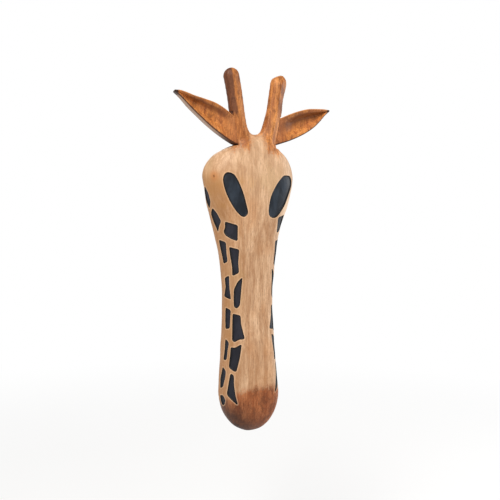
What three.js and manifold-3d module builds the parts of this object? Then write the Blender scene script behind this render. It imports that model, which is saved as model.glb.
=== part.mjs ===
// Carved giraffe-head wall mask: one carved block with two horns, two let-in ears on
// wooden pegs, and a screwed hanger strap with a swinging ring in a recess at the back.
// Millimetres. +Z is up, the wall lies at Y = 0 and the face looks along -Y.
// Heights below are measured from the tip of the nose; the exported group is lowered by
// ORIGIN_HEIGHT, so its origin is on the flat land of the back, on the centre line.
import * as THREE from "three";
import { mergeVertices } from "three/addons/utils/BufferGeometryUtils.js";
import { TessellateModifier } from "three/addons/modifiers/TessellateModifier.js";
import Module from "manifold-3d";

// ---- Driving dimensions -------------------------------------------------------------
const ORIGIN_HEIGHT = 314; // the land of the back between the hollow and the hanger recess
const GAP = 0.3; // left between pieces that touch

// Head: [height, value] stations, joined by a smooth monotone curve.
const NOSE_END = 55; // below this height the nose closes as an ellipse
const CROWN_START = 353; // above this height the skull closes as an ellipse
const CROWN_HEIGHT = 48.5;
const NOSE_MID_DEPTH = 23; // depth of the nose tip in front of the wall
const NOSE_UNDERCUT = 36; // height over which the back curls up to the nose tip
const NOSE_ROUNDING = { width: 2.1, front: 2.4, back: 2.2 }; // powers of the nose's superellipses
const CROWN_UNDERCUT_START = 382; // above this height the back curls forward to the neck
const CROWN_UNDERCUT = 0.035; // how fast it curls, per millimetre of height squared
const HALF_WIDTH = [[55, 43.8], [110, 40], [180, 37.2], [230, 40.4], [280, 51.4], [320, 63.2], [353, 69.6]];
// The carver's unevenness: the right side is a little narrower, and the nose tip leans right.
const RIGHT_SHARE = [
  [0, 1], [60, 1], [110, 0.975], [180, 0.965], [230, 0.95], [280, 0.93], [310, 0.935], [335, 0.915],
  [360, 0.94], [385, 0.97], [402, 1],
];
const NOSE_LEAN = [[0, 1.8], [40, 1.4], [75, 0]];
const FRONT_DEPTH = [
  [55, 48.5], [110, 49], [180, 46], [240, 47.5], [300, 50], [345, 51], [380, 47.5], [403, 42],
];
// Half width of the flat of the face, which spreads from the muzzle to the brow.
const FACE_HALF = [
  [0, 24], [60, 31], [104, 27.5], [180, 24.5], [240, 30], [285, 35.5], [300, 40], [313, 48],
  [330, 55.5], [345, 59], [403, 44],
];
// Sharpness of the edge between face and flank.
const FACE_EDGE = [[0, 1], [55, 1.3], [110, 2.1], [240, 2.2], [330, 2.2], [360, 1.5], [403, 1.2]];
// Share of the flank that is straight before it rounds over to the back.
const FLANK_SHARE = [[0, 0.5], [60, 0.36], [110, 0.4], [180, 0.52], [260, 0.62], [353, 0.56], [403, 0.5]];
// Share of the half width that lies flat against the wall.
const BACK_FLAT = [[0, 0.3], [60, 0.55], [110, 0.62], [180, 0.72], [260, 0.84], [353, 0.78], [403, 0.7]];
const FLANK_FLARE = 1.14; // the flank's line meets the back this much wider than the half width
const FLANK_EDGE = 0.9; // sharpness of the corner between flank and back
const FACE_LIMIT = 0.92; // the flat of the face is at most this share of the half width

// Neck and horns: one fork-shaped slab with rounded edges, in front view [x, height].
const FORK_BASE = 372;
const FORK_FRONT = -42;
const FORK_BACK = -18;
const FORK_ROUND = 7.5;
const FORK_OUTLINE = [
  [28, FORK_BASE], [30, 396], [38.2, 441], [45.6, 485], [43, 494.6], [35.8, 498.4], [27, 494],
  [22.8, 486], [21, 472], [17.4, 447], [14, 433], [8, 417], [-1, 411.8], [-10, 415], [-15, 428],
  [-17.4, 442], [-21.4, 468], [-25, 487], [-28.6, 495.4], [-36.5, 499], [-44.6, 494.5], [-47.4, 487],
  [-38.5, 441], [-30, 396], [-28, FORK_BASE],
];

// Ears: heights of the upper and lower edge of each leaf at distances from the centre line.
const EAR_TIP_X = 115.8;
const EAR_LEFT = {
  upper: [
    [24, 426], [31, 431], [48, 442.6], [62, 449], [76, 452.2], [90, 455], [103, 458.6], [110, 460],
    [115.8, 459.6],
  ],
  lower: [
    [24, 395.2], [31.3, 396.6], [40, 400.4], [54.4, 408.6], [68.6, 418], [82.6, 429], [96.3, 440.4],
    [108, 451.4], [115.8, 457.4],
  ],
};
const EAR_RIGHT = {
  upper: [
    [24, 431], [33.6, 436.4], [50, 444.4], [66, 450.8], [82, 455.2], [98, 456.8], [108, 457.6],
    [115.8, 457.4],
  ],
  lower: [
    [24, 398], [35, 401.6], [50.6, 407.4], [63.3, 413.2], [76.2, 420.2], [89.1, 429.2], [99, 438.6],
    [108, 448.4], [115.8, 455.2],
  ],
};
const EAR_FRONT = -37; // the rim's front
const EAR_BACK = -24; // the rim's back
const EAR_DISH = [[24, -2], [42, 0], [60, 5], [84, 6.5], [105, 4], [EAR_TIP_X, 1]]; // hollow of the front
const EAR_BULGE = [[24, 3], [50, 4.5], [84, 5], [105, 2.5], [EAR_TIP_X, 0.5]]; // swell of the back
const EAR_TAPER = [[24, 1], [96, 1], [EAR_TIP_X, 0.66]]; // share of the thickness

// Ear seats: a flat housing cut into the side of the neck.
const SEAT_LOW = [27.6, 395];
const SEAT_HIGH = [35.6, 440.5];
const PEG_RADIUS = 3;
const PEG_HALF_LENGTH = 13;
const PEG_HEIGHT_SHARE = 0.52;
const PEG_DEPTH = -30;
const HOUSING_BACK = -19.5; // the housing is open to the front and stops here

// Eyes and coat markings: shallow painted recesses, drawn in [girth, height], where girth is
// the distance over the skin from the middle of the face. The right side repeats the left
// side's markings, a little higher.
const RECESS_DEPTH = 1.6;
const RECESS_MESH = 14; // the longest edge of a recess's floor
const EYES = [
  [
    [-46.2, 356.7], [-40.2, 355.2], [-35.6, 350.8], [-30, 340.6], [-24.4, 327.4], [-20.2, 313.5],
    [-18, 304.4], [-20.4, 300], [-24, 298.6], [-28.6, 300.8], [-36.5, 309.2], [-45.4, 323.4],
    [-50.6, 336], [-52.8, 347], [-50.6, 354],
  ],
  [
    [38.6, 356], [45.5, 357.2], [52.6, 356.8], [57, 352.6], [57.2, 346], [53, 335.5], [45.5, 321],
    [37, 309], [30.4, 301.7], [24.9, 298.6], [18.7, 298.8], [14.6, 302.5], [13.9, 311], [17, 325.5],
    [22.6, 337.6], [30, 348],
  ],
];
const EYE_SIDES = 20;
const RIGHT_RISE = 12; // how much higher the right side's markings lie
const MARKINGS = [
  [
    [-50.5, 291.8], [-31.3, 287], [-30.9, 266], [-42.6, 269.6], [-49.7, 273.6], [-53.6, 278.6],
    [-50.6, 283.4],
  ],
  [[-44.2, 257.6], [-28.2, 254.5], [-29.1, 236.3], [-27.6, 222.9], [-38.1, 218.4], [-39.3, 231.4]],
  [
    [-22.6, 217], [-24.5, 192.5], [-25.4, 179], [-29.8, 174.3], [-34.7, 176], [-35.6, 186.2],
    [-35.2, 199.8], [-29.1, 210.4],
  ],
  [
    [-36.9, 166.6], [-24.4, 165.4], [-23.7, 152.7], [-19, 133.8], [-26.9, 133.1], [-34, 128.8],
    [-37.9, 130.8], [-37.4, 149.2],
  ],
  [
    [-23.3, 126.7], [-25.8, 108.3], [-30.3, 89.6], [-35, 90.3], [-42.4, 94], [-41.8, 104.2],
    [-40.5, 121], [-33.2, 121],
  ],
  [
    [-39.6, 84.4], [-37, 85.8], [-33.6, 83.6], [-33.3, 69.7], [-31.5, 56.2], [-28.4, 43.8],
    [-37, 50.8], [-44.7, 56.7], [-42, 70.7],
  ],
  [[-87, 340], [-79, 330], [-75, 319], [-78, 309.5], [-86, 321], [-92, 333]],
  [
    [-72.2, 310.3], [-63.5, 302.5], [-57.5, 292.4], [-61.9, 284.6], [-63.8, 277.4], [-69.4, 289],
    [-75.4, 303],
  ],
  [[-62.7, 267.2], [-49.8, 263.7], [-49.6, 249.6], [-48, 237.6], [-55.9, 234.3], [-59.4, 249]],
  [[-44.7, 218.4], [-43.7, 200.6], [-40.7, 185.6], [-54.3, 188.8], [-51.5, 202], [-53.7, 214.4]],
  [[-51.2, 173.8], [-41, 170.8], [-41.6, 158.4], [-42.7, 146.5], [-51.5, 144.3], [-51.4, 159.6]],
  [[-51.1, 131], [-43.8, 126.7], [-46.6, 117], [-48.2, 103.1], [-54.9, 101.9], [-52.4, 116]],
  [[-55.4, 92.4], [-48.1, 87.5], [-49.4, 77], [-53, 65.6], [-60, 62.4], [-59.2, 76.4]],
  [[-60, 52.6], [-52.2, 53.8], [-47.8, 48.2], [-50.4, 41.2], [-54.6, 38.7], [-58.8, 45]],
];

// Hollow of the back and the recess that holds the hanger.
const HOLLOW_BOTTOM = 44;
const HOLLOW_TOP = 304;
const HOLLOW_DEPTH = 25;
const HOLLOW_WIDTH_SHARE = 0.62;
const HANGER_RECESS = { low: 324, high: 380, halfWidth: 17, depth: 7, corner: 6 };

// Hanger: a folded strap, a ring with one straight side, and two pan-head screws.
const STRAP = { width: 15, bottom: 328, thickness: 1, eyeWall: 0.9 };
const RING = { wire: 1.1, axisHeight: 357, innerHalf: 9.4, corner: 3.2, drop: 15 };
const SCREW = { shank: 1.45, head: 3.1, headHeight: 1.9, length: 14, heights: [348, 335.5] };

// ---- Number and curve helpers ---------------------------------------------------------
/** Value at x of a smooth curve through [x, value] stations, with no overshoot. */
function along(stations, x) {
  const last = stations.length - 1;
  if (x <= stations[0][0]) return stations[0][1];
  if (x >= stations[last][0]) return stations[last][1];
  const steepness = (i) => (stations[i + 1][1] - stations[i][1]) / (stations[i + 1][0] - stations[i][0]);
  const slope = (i) => {
    if (i === 0) return steepness(0);
    if (i === last) return steepness(last - 1);
    const [before, after] = [steepness(i - 1), steepness(i)];
    return before * after <= 0 ? 0 : (2 * before * after) / (before + after);
  };
  let i = 0;
  while (x > stations[i + 1][0]) i++;
  const span = stations[i + 1][0] - stations[i][0];
  const t = (x - stations[i][0]) / span;
  return (
    stations[i][1] * (1 + 2 * t) * (1 - t) ** 2 + stations[i + 1][1] * t * t * (3 - 2 * t) +
    span * (slope(i) * t * (1 - t) ** 2 - slope(i + 1) * t * t * (1 - t))
  );
}

/** Height of a superellipse's quarter at a share of its half length, 1 at 0 and 0 at 1. */
const domed = (share, power) => Math.sqrt(Math.max(0, 1 - Math.min(1, share) ** power));

/** Points of the conic from a to c with its corner at b; a heavier weight hugs the corner. */
function conic(a, b, c, weight, steps) {
  return Array.from({ length: steps + 1 }, (_, i) => {
    const t = i / steps;
    const [u, v, w] = [(1 - t) ** 2, 2 * weight * t * (1 - t), t * t];
    return [0, 1].map((k) => (u * a[k] + v * b[k] + w * c[k]) / (u + v + w));
  });
}

// ---- Solids ---------------------------------------------------------------------------
const wasm = await Module();
wasm.setup();

/** Turns every triangle of an index over. */
function turnOver(index) {
  for (let i = 0; i < index.length; i += 3) [index[i + 1], index[i + 2]] = [index[i + 2], index[i + 1]];
}

/** A closed three.js geometry as a solid, with its faces turned outwards. */
function solid(geometry) {
  const bare = geometry.index ? geometry.toNonIndexed() : geometry.clone();
  for (const name of Object.keys(bare.attributes)) if (name !== "position") bare.deleteAttribute(name);
  const merged = mergeVertices(bare, 1e-4);
  const vertProperties = new Float32Array(merged.attributes.position.array);
  const triVerts = new Uint32Array(merged.index.array);
  const made = new wasm.Manifold(new wasm.Mesh({ numProp: 3, vertProperties, triVerts }));
  if (made.volume() > 0) return made;
  turnOver(triVerts);
  return new wasm.Manifold(new wasm.Mesh({ numProp: 3, vertProperties, triVerts }));
}

/** The solid as a named three.js mesh. */
function meshOf(made, name, material) {
  const data = made.getMesh();
  const geometry = new THREE.BufferGeometry();
  geometry.setAttribute("position", new THREE.BufferAttribute(new Float32Array(data.vertProperties), 3));
  geometry.setIndex(new THREE.BufferAttribute(new Uint32Array(data.triVerts), 1));
  geometry.computeVertexNormals();
  const mesh = new THREE.Mesh(geometry, material);
  mesh.name = name;
  return mesh;
}

/** A closed skin over rings of 3-D points, with a fan at each end. */
function loft(rings) {
  const count = rings[0].length;
  const centre = (ring) => [0, 1, 2].map((k) => ring.reduce((sum, p) => sum + p[k], 0) / count);
  const points = [...rings.flat(), centre(rings[0]), centre(rings[rings.length - 1])];
  const faces = [];
  for (let j = 0; j + 1 < rings.length; j++)
    for (let i = 0; i < count; i++) {
      const [a, b] = [j * count + i, j * count + ((i + 1) % count)];
      faces.push(a, b, b + count, a, b + count, a + count);
    }
  const [first, last] = [points.length - 2, points.length - 1];
  const top = (rings.length - 1) * count;
  for (let i = 0; i < count; i++) {
    const next = (i + 1) % count;
    faces.push(first, next, i, last, top + i, top + next);
  }
  const geometry = new THREE.BufferGeometry();
  geometry.setAttribute("position", new THREE.BufferAttribute(new Float32Array(points.flat()), 3));
  geometry.setIndex(faces);
  return geometry;
}

/** The mirror image in X of a geometry. */
function mirrored(geometry) {
  const other = geometry.clone().applyMatrix4(new THREE.Matrix4().makeScale(-1, 1, 1));
  turnOver(other.index.array);
  return other;
}

// ---- Head -----------------------------------------------------------------------------
const noseShare = (height, length) => (length - height) / length;

function halfWidth(height) {
  if (height < NOSE_END) return HALF_WIDTH[0][1] * domed(noseShare(height, NOSE_END), NOSE_ROUNDING.width);
  if (height > CROWN_START) return HALF_WIDTH.at(-1)[1] * domed((height - CROWN_START) / CROWN_HEIGHT, 2);
  return along(HALF_WIDTH, height);
}

function frontDepth(height) {
  if (height >= NOSE_END) return along(FRONT_DEPTH, height);
  const reach = FRONT_DEPTH[0][1] - NOSE_MID_DEPTH;
  return NOSE_MID_DEPTH + reach * domed(noseShare(height, NOSE_END), NOSE_ROUNDING.front);
}

function backDepth(height) {
  const share = noseShare(height, NOSE_UNDERCUT);
  if (height < NOSE_UNDERCUT) return NOSE_MID_DEPTH * (1 - domed(share, NOSE_ROUNDING.back));
  if (height > CROWN_UNDERCUT_START) return CROWN_UNDERCUT * (height - CROWN_UNDERCUT_START) ** 2;
  return 0;
}

/** Half of the head's outline at a height, as [x, y] from the middle of the face to the back. */
function halfSection(height, steps = [8, 5, 1]) {
  const width = halfWidth(height);
  const front = -frontDepth(height);
  const back = -backDepth(height);
  const plate = [Math.min(along(FACE_HALF, height), FACE_LIMIT * width), front];
  const foot = [FLANK_FLARE * width, back];
  const share = along(FLANK_SHARE, height);
  const turn = [plate[0] + (foot[0] - plate[0]) * share, front + (back - front) * share];
  const rim = [along(BACK_FLAT, height) * width, back];
  const face = conic([0, front], plate, turn, along(FACE_EDGE, height), steps[0]);
  const flank = conic(turn, foot, rim, FLANK_EDGE, steps[1]).slice(1);
  const widest = Math.max(...face.map((p) => p[0]), ...flank.map((p) => p[0]));
  const outline = [...face, ...flank].map(([x, y]) => [(x * width) / widest, y]);
  const last = outline[outline.length - 1];
  for (let i = 1; i <= steps[2]; i++) outline.push([last[0] * (1 - i / steps[2]), back]);
  return outline;
}

/** Where a point of the symmetrical head lies once the carver's unevenness is added. */
const leaned = (x, height) => x * (x > 0 ? along(RIGHT_SHARE, height) : 1) + along(NOSE_LEAN, height);

/** The head's closed outline at a height, as 3-D points. */
function ring(height) {
  const half = halfSection(height);
  const other = half.slice(1, -1).reverse().map(([x, y]) => [-x, y]);
  return [...half, ...other].map(([x, y]) => [leaned(x, height), y, height]);
}

function headHeights() {
  const quarter = Math.PI / 2;
  const nose = Array.from({ length: 8 }, (_, i) => NOSE_END * (1 - Math.cos((quarter * (i + 0.7)) / 8.7)));
  const body = Array.from({ length: 18 }, (_, i) => NOSE_END + ((CROWN_START - NOSE_END) * i) / 18);
  const crownAngle = (i) => (quarter * i) / 7.6;
  const crown = Array.from({ length: 8 }, (_, i) => CROWN_START + CROWN_HEIGHT * Math.sin(crownAngle(i)));
  return [...nose, ...body, ...crown];
}

/** Point of the skin at a girth and height, moved out along the skin's normal. */
function skinPoint(girth, height, out) {
  const at = (g, h) => {
    const outline = halfSection(h, [24, 12, 3]);
    let left = Math.abs(g);
    for (let i = 0; i + 1 < outline.length; i++) {
      const [dx, dy] = [outline[i + 1][0] - outline[i][0], outline[i + 1][1] - outline[i][1]];
      const length = Math.hypot(dx, dy);
      if (left <= length || i + 2 === outline.length) {
        const t = left / length;
        const x = Math.sign(g || 1) * (outline[i][0] + t * dx);
        return new THREE.Vector3(leaned(x, h), outline[i][1] + t * dy, h);
      }
      left -= length;
    }
    return null;
  };
  const step = 1.5;
  const across = at(girth + step, height).sub(at(girth - step, height));
  const up = at(girth, height + step).sub(at(girth, height - step));
  const normal = across.cross(up).normalize();
  return at(girth, height).addScaledVector(normal, out);
}

/** A recess cutter: an outline in [girth, height] wrapped over the skin, with straight walls. */
function recess(outline) {
  const shape = new THREE.Shape(outline.map(([girth, height]) => new THREE.Vector2(girth, height)));
  const slab = new THREE.ExtrudeGeometry(shape, { depth: RECESS_DEPTH + 1.2, bevelEnabled: false });
  const fine = new TessellateModifier(RECESS_MESH, 8).modify(slab.translate(0, 0, -RECESS_DEPTH));
  const place = fine.attributes.position;
  for (let i = 0; i < place.count; i++) {
    const p = skinPoint(place.getX(i), place.getY(i), place.getZ(i));
    place.setXYZ(i, p.x, p.y, p.z);
  }
  return solid(fine);
}

/** The eye's outline as a smooth closed curve through its points. */
function smoothOutline(points) {
  const curve = new THREE.CatmullRomCurve3(points.map(([x, y]) => new THREE.Vector3(x, y, 0)), true);
  return curve.getPoints(EYE_SIDES).slice(0, -1).map((p) => [p.x, p.y]);
}

const onRightSide = (outline) => outline.map(([girth, height]) => [-girth, height + RIGHT_RISE]);
const markingsRight = MARKINGS.map(onRightSide);

/** The fork of neck and horns: its front view, extruded front to back with rounded edges. */
function fork() {
  const shape = new THREE.Shape(FORK_OUTLINE.map(([x, height]) => new THREE.Vector2(x, height)));
  const geometry = new THREE.ExtrudeGeometry(shape, {
    depth: FORK_BACK - FORK_FRONT - 2 * FORK_ROUND,
    bevelThickness: FORK_ROUND,
    bevelSize: FORK_ROUND,
    bevelOffset: -FORK_ROUND,
    bevelSegments: 3,
  });
  // The shape's plane is turned up, so that its depth runs from the back to the front.
  return solid(geometry.rotateX(Math.PI / 2).translate(0, FORK_BACK - FORK_ROUND, 0));
}

/** The trough of the back: half ellipses that follow the head's width. */
function hollow() {
  const levels = 14;
  const rings = Array.from({ length: levels + 1 }, (_, j) => {
    const t = j / levels;
    const height = HOLLOW_BOTTOM + (HOLLOW_TOP - HOLLOW_BOTTOM) * (0.5 - 0.5 * Math.cos(Math.PI * t));
    const share = Math.abs(2 * (height - HOLLOW_BOTTOM) / (HOLLOW_TOP - HOLLOW_BOTTOM) - 1);
    const end = Math.max(0.04, domed(share, 5));
    const [across, deep] = [HOLLOW_WIDTH_SHARE * halfWidth(height) * end, HOLLOW_DEPTH * end];
    const arc = Array.from({ length: 11 }, (_, i) => {
      const angle = Math.PI * (i / 10);
      return [across * Math.cos(angle), -deep * domed(Math.abs(Math.cos(angle)), 2.6), height];
    });
    return [...arc, [-across, 4, height], [across, 4, height]];
  });
  return solid(loft(rings));
}

function hangerRecess() {
  const { low, high, halfWidth: half, depth, corner } = HANGER_RECESS;
  const shape = new THREE.Shape()
    .moveTo(-half + corner, low)
    .lineTo(half - corner, low)
    .absarc(half - corner, low + corner, corner, -Math.PI / 2, 0)
    .lineTo(half, high - corner)
    .absarc(half - corner, high - corner, corner, 0, Math.PI / 2)
    .lineTo(-half + corner, high)
    .absarc(-half + corner, high - corner, corner, Math.PI / 2, Math.PI)
    .lineTo(-half, low + corner)
    .absarc(-half + corner, low + corner, corner, Math.PI, 1.5 * Math.PI);
  const past = 5; // the cutter runs on behind the wall plane
  const options = { depth: depth + past, bevelEnabled: false, curveSegments: 4 };
  return solid(new THREE.ExtrudeGeometry(shape, options).rotateX(Math.PI / 2).translate(0, past, 0));
}

// ---- Ears -----------------------------------------------------------------------------
const seatUp = new THREE.Vector2(...SEAT_HIGH).sub(new THREE.Vector2(...SEAT_LOW)).normalize();

const seatLength = new THREE.Vector2(...SEAT_HIGH).distanceTo(new THREE.Vector2(...SEAT_LOW));
const seatLean = Math.atan2(seatUp.x, seatUp.y);

/** A box on the right ear's seat, from one distance out of its plane to another. */
function seatBox(from, to, low, high, back = 0) {
  const front = -60;
  const geometry = new THREE.BoxGeometry(to - from, back - front, high - low);
  geometry.translate((from + to) / 2, 0, (low + high) / 2).rotateY(seatLean);
  return geometry.translate(SEAT_LOW[0], (front + back) / 2, SEAT_LOW[1]);
}

/** A rod along the seat's normal, centred on the seat. */
function seatRod(radius, halfLength) {
  const length = seatLength * PEG_HEIGHT_SHARE;
  const geometry = new THREE.CylinderGeometry(radius, radius, 2 * halfLength, 16);
  geometry.rotateZ(-Math.PI / 2).rotateY(seatLean);
  return geometry.translate(SEAT_LOW[0] + seatUp.x * length, PEG_DEPTH, SEAT_LOW[1] + seatUp.y * length);
}

/** Section of a leaf at a distance from the centre line, as 3-D points on the right side. */
function earRing(leaf, x) {
  const [low, high] = [along(leaf.lower, x), along(leaf.upper, x)];
  const middle = (EAR_FRONT + EAR_BACK) / 2;
  const thick = ((EAR_BACK - EAR_FRONT) / 2) * along(EAR_TAPER, x);
  const [dish, bulge] = [along(EAR_DISH, x), along(EAR_BULGE, x)];
  const round = Math.min(2, (high - low) / 4);
  const steps = 6;
  const side = (depthAt) =>
    Array.from({ length: steps + 1 }, (_, i) => {
      const share = i / steps;
      const height = low + round + (high - low - 2 * round) * share;
      return [x, depthAt(Math.sin(Math.PI * share) ** 0.8), height];
    });
  const front = side((swell) => middle - thick + dish * swell);
  const back = side((swell) => middle + thick + bulge * swell).reverse();
  const rimTop = [-0.55, 0.55].map((s) => [x, middle + s * thick, high]);
  const rimLow = [0.55, -0.55].map((s) => [x, middle + s * thick, low]);
  return [...front, ...rimTop, ...back, ...rimLow];
}

function earBlank(leaf) {
  const from = leaf.upper[0][0];
  const levels = 12;
  const place = (i) => from + (EAR_TIP_X - from) * (i / levels) ** 0.85;
  return solid(loft(Array.from({ length: levels + 1 }, (_, i) => earRing(leaf, place(i)))));
}

// ---- Hanger ---------------------------------------------------------------------------
const recessFloor = -HANGER_RECESS.depth;
const strapBack = recessFloor + GAP;
const eyeInner = RING.wire + GAP;
const eyeOuter = eyeInner + STRAP.eyeWall;
const ringDepth = strapBack + eyeOuter;

/** The folded strap in side view [depth, height], pulled out across its width. */
function strap() {
  const face = strapBack + STRAP.thickness;
  const shape = new THREE.Shape()
    .moveTo(strapBack, STRAP.bottom)
    .lineTo(face, STRAP.bottom)
    .lineTo(face, RING.axisHeight - eyeInner)
    .absarc(ringDepth, RING.axisHeight, eyeOuter, -Math.PI * 0.62, Math.PI);
  shape.holes.push(new THREE.Path().absarc(ringDepth, RING.axisHeight, eyeInner, 0, 2 * Math.PI, true));
  const options = { depth: STRAP.width, bevelEnabled: false, curveSegments: 20 };
  const geometry = new THREE.ExtrudeGeometry(shape, options);
  // Shape x is depth (Y), shape y is height (Z), and the extrusion runs along X.
  const [alongX, alongY, alongZ] = [0, 1, 2].map((axis) => new THREE.Vector3().setComponent(axis, 1));
  geometry.applyMatrix4(new THREE.Matrix4().makeBasis(alongY, alongZ, alongX));
  let made = solid(geometry.translate(-STRAP.width / 2, 0, 0));
  const through = 30;
  for (const height of SCREW.heights)
    made = made.subtract(solid(rodAlongDepth(SCREW.shank + GAP, through, 0, height)));
  return made;
}

/** A rod along Y, from one depth towards the front by its length. */
function rodAlongDepth(radius, length, from, height) {
  return new THREE.CylinderGeometry(radius, radius, length, 20).translate(0, from - length / 2, height);
}

/** The hanging ring, its straight side in the strap's eye and its bow hanging down. */
function hangingRing() {
  const half = RING.innerHalf + RING.wire;
  const { corner } = RING;
  const points = [];
  const arc = (cx, cz, radius, from, to, steps) => {
    for (let i = 0; i <= steps; i++) {
      const angle = from + ((to - from) * i) / steps;
      const height = RING.axisHeight + cz + radius * Math.sin(angle);
      points.push(new THREE.Vector3(cx + radius * Math.cos(angle), ringDepth, height));
    }
  };
  arc(half - corner, -corner, corner, Math.PI / 2, 0, 4);
  arc(0, -(RING.drop - half), half, 0, -Math.PI, 16);
  arc(-half + corner, -corner, corner, Math.PI, Math.PI / 2, 4);
  const rings = points.map((p, i) => {
    const before = points[(i + points.length - 1) % points.length];
    const after = points[(i + 1) % points.length];
    const tangent = after.clone().sub(before).normalize();
    const outward = new THREE.Vector3(-tangent.z, 0, tangent.x);
    return Array.from({ length: 12 }, (_, k) => {
      const angle = (2 * Math.PI * k) / 12;
      const spot = p.clone().addScaledVector(outward, RING.wire * Math.cos(angle));
      spot.y += RING.wire * Math.sin(angle);
      return spot.toArray();
    });
  });
  return closedTube(rings);
}

/** A tube whose last ring joins its first. */
function closedTube(rings) {
  const count = rings[0].length;
  const faces = [];
  rings.forEach((_, j) => {
    const next = ((j + 1) % rings.length) * count;
    for (let i = 0; i < count; i++) {
      const k = (i + 1) % count;
      faces.push(j * count + i, j * count + k, next + k, j * count + i, next + k, next + i);
    }
  });
  const geometry = new THREE.BufferGeometry();
  geometry.setAttribute("position", new THREE.BufferAttribute(new Float32Array(rings.flat(2)), 3));
  geometry.setIndex(faces);
  return solid(geometry);
}

/** A pan-head screw: head on the strap, shank into the wood. Turned from a half profile. */
function screw(height) {
  const { shank, head, headHeight, length } = SCREW;
  const profile = [
    [0, 0], [head * 0.8, 0], [head, headHeight * 0.35], [head, headHeight], [shank, headHeight],
    [shank, headHeight + length - 3], [0, headHeight + length],
  ].map(([radius, distance]) => new THREE.Vector2(radius, distance));
  const geometry = new THREE.LatheGeometry(profile.reverse(), 20);
  const top = strapBack + STRAP.thickness + GAP + headHeight;
  // The lathe's axis is turned to run forwards from the head's top.
  geometry.rotateX(Math.PI).translate(0, top, height);
  const slot = new THREE.BoxGeometry(head * 3, 1.4, 0.8).translate(0, top, height);
  return solid(geometry).subtract(solid(slot));
}

// ---- Assembly -------------------------------------------------------------------------
const paleWood = new THREE.MeshStandardMaterial({ color: 0xc29a70, roughness: 0.55, metalness: 0 });
const stainedWood = new THREE.MeshStandardMaterial({ color: 0xa9683a, roughness: 0.45, metalness: 0 });
const pegWood = new THREE.MeshStandardMaterial({ color: 0xd9bd8c, roughness: 0.7, metalness: 0 });
const brass = new THREE.MeshStandardMaterial({ color: 0xb89448, roughness: 0.35, metalness: 1 });
const steel = new THREE.MeshStandardMaterial({ color: 0xb4b6b8, roughness: 0.35, metalness: 1 });

function headBlock() {
  let made = solid(loft(headHeights().map(ring))).add(fork());
  made = made.subtract(hollow()).subtract(hangerRecess());
  const housing = seatBox(0, 26, 0, seatLength, HOUSING_BACK);
  const bore = seatRod(PEG_RADIUS + GAP, PEG_HALF_LENGTH + 2 * GAP);
  for (const cutter of [housing, bore]) made = made.subtract(solid(cutter)).subtract(solid(mirrored(cutter)));
  const cuts = [...EYES.map(smoothOutline), ...MARKINGS, ...markingsRight];
  for (const outline of cuts) made = made.subtract(recess(outline));
  const pilot = (height) => rodAlongDepth(SCREW.shank + GAP, SCREW.length + GAP, recessFloor + 1, height);
  for (const height of SCREW.heights) made = made.subtract(solid(pilot(height)));
  return made;
}

/** An ear as it lies on the right side, cut off at its seat and bored for its peg. */
function ear(leaf) {
  const cutAway = seatBox(-60, GAP, -60, 120);
  const bore = seatRod(PEG_RADIUS + GAP, PEG_HALF_LENGTH + 2 * GAP);
  return earBlank(leaf).subtract(solid(cutAway)).subtract(solid(bore));
}

const object = new THREE.Group();
const model = new THREE.Group();
model.position.z = -ORIGIN_HEIGHT;
object.add(model);

const rightEar = meshOf(ear(EAR_RIGHT), "ear_right", stainedWood);
const leftEar = new THREE.Mesh(mirrored(meshOf(ear(EAR_LEFT), "", stainedWood).geometry), stainedWood);
leftEar.name = "ear_left";
const rightPeg = meshOf(solid(seatRod(PEG_RADIUS, PEG_HALF_LENGTH)), "ear_peg_right", pegWood);
const leftPeg = new THREE.Mesh(mirrored(rightPeg.geometry), pegWood);
leftPeg.name = "ear_peg_left";

model.add(
  meshOf(headBlock(), "head_block", paleWood), leftEar, rightEar, leftPeg, rightPeg,
  meshOf(strap(), "hanger_strap", brass),
  meshOf(hangingRing(), "hanger_ring", brass),
  meshOf(screw(SCREW.heights[0]), "strap_screw_upper", steel),
  meshOf(screw(SCREW.heights[1]), "strap_screw_lower", steel),
);

export default object;
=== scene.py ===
"""A carved giraffe-head wall mask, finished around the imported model.

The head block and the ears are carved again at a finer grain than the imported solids, from
the same driving dimensions; the hanger and the pegs get real edges. Shapes are worked out
in millimetres with heights from the tip of the nose, and go into the frame at the end.
"""
import math

import bmesh
import bpy
import numpy as np
import openvdb
from mathutils import Matrix, Vector


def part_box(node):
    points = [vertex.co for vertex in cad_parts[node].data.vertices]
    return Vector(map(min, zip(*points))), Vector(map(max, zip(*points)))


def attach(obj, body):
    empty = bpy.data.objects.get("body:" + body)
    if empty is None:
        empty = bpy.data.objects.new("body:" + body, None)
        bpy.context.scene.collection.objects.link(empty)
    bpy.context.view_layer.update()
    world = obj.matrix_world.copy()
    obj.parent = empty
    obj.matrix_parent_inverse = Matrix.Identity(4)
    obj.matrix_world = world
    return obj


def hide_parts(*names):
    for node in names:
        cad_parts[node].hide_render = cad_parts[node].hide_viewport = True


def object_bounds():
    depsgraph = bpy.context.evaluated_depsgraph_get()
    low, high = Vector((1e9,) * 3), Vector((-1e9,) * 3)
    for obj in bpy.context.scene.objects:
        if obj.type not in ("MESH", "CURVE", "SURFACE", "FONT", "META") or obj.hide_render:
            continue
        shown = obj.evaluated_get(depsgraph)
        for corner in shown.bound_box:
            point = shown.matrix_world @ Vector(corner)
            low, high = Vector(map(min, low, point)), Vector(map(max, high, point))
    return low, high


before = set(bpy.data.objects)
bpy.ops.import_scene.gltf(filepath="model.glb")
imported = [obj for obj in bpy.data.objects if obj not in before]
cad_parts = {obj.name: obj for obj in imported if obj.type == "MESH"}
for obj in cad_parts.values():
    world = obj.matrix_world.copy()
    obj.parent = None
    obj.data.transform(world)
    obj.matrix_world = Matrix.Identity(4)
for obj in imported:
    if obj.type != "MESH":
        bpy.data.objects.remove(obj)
cad_low, cad_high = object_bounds()

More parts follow.
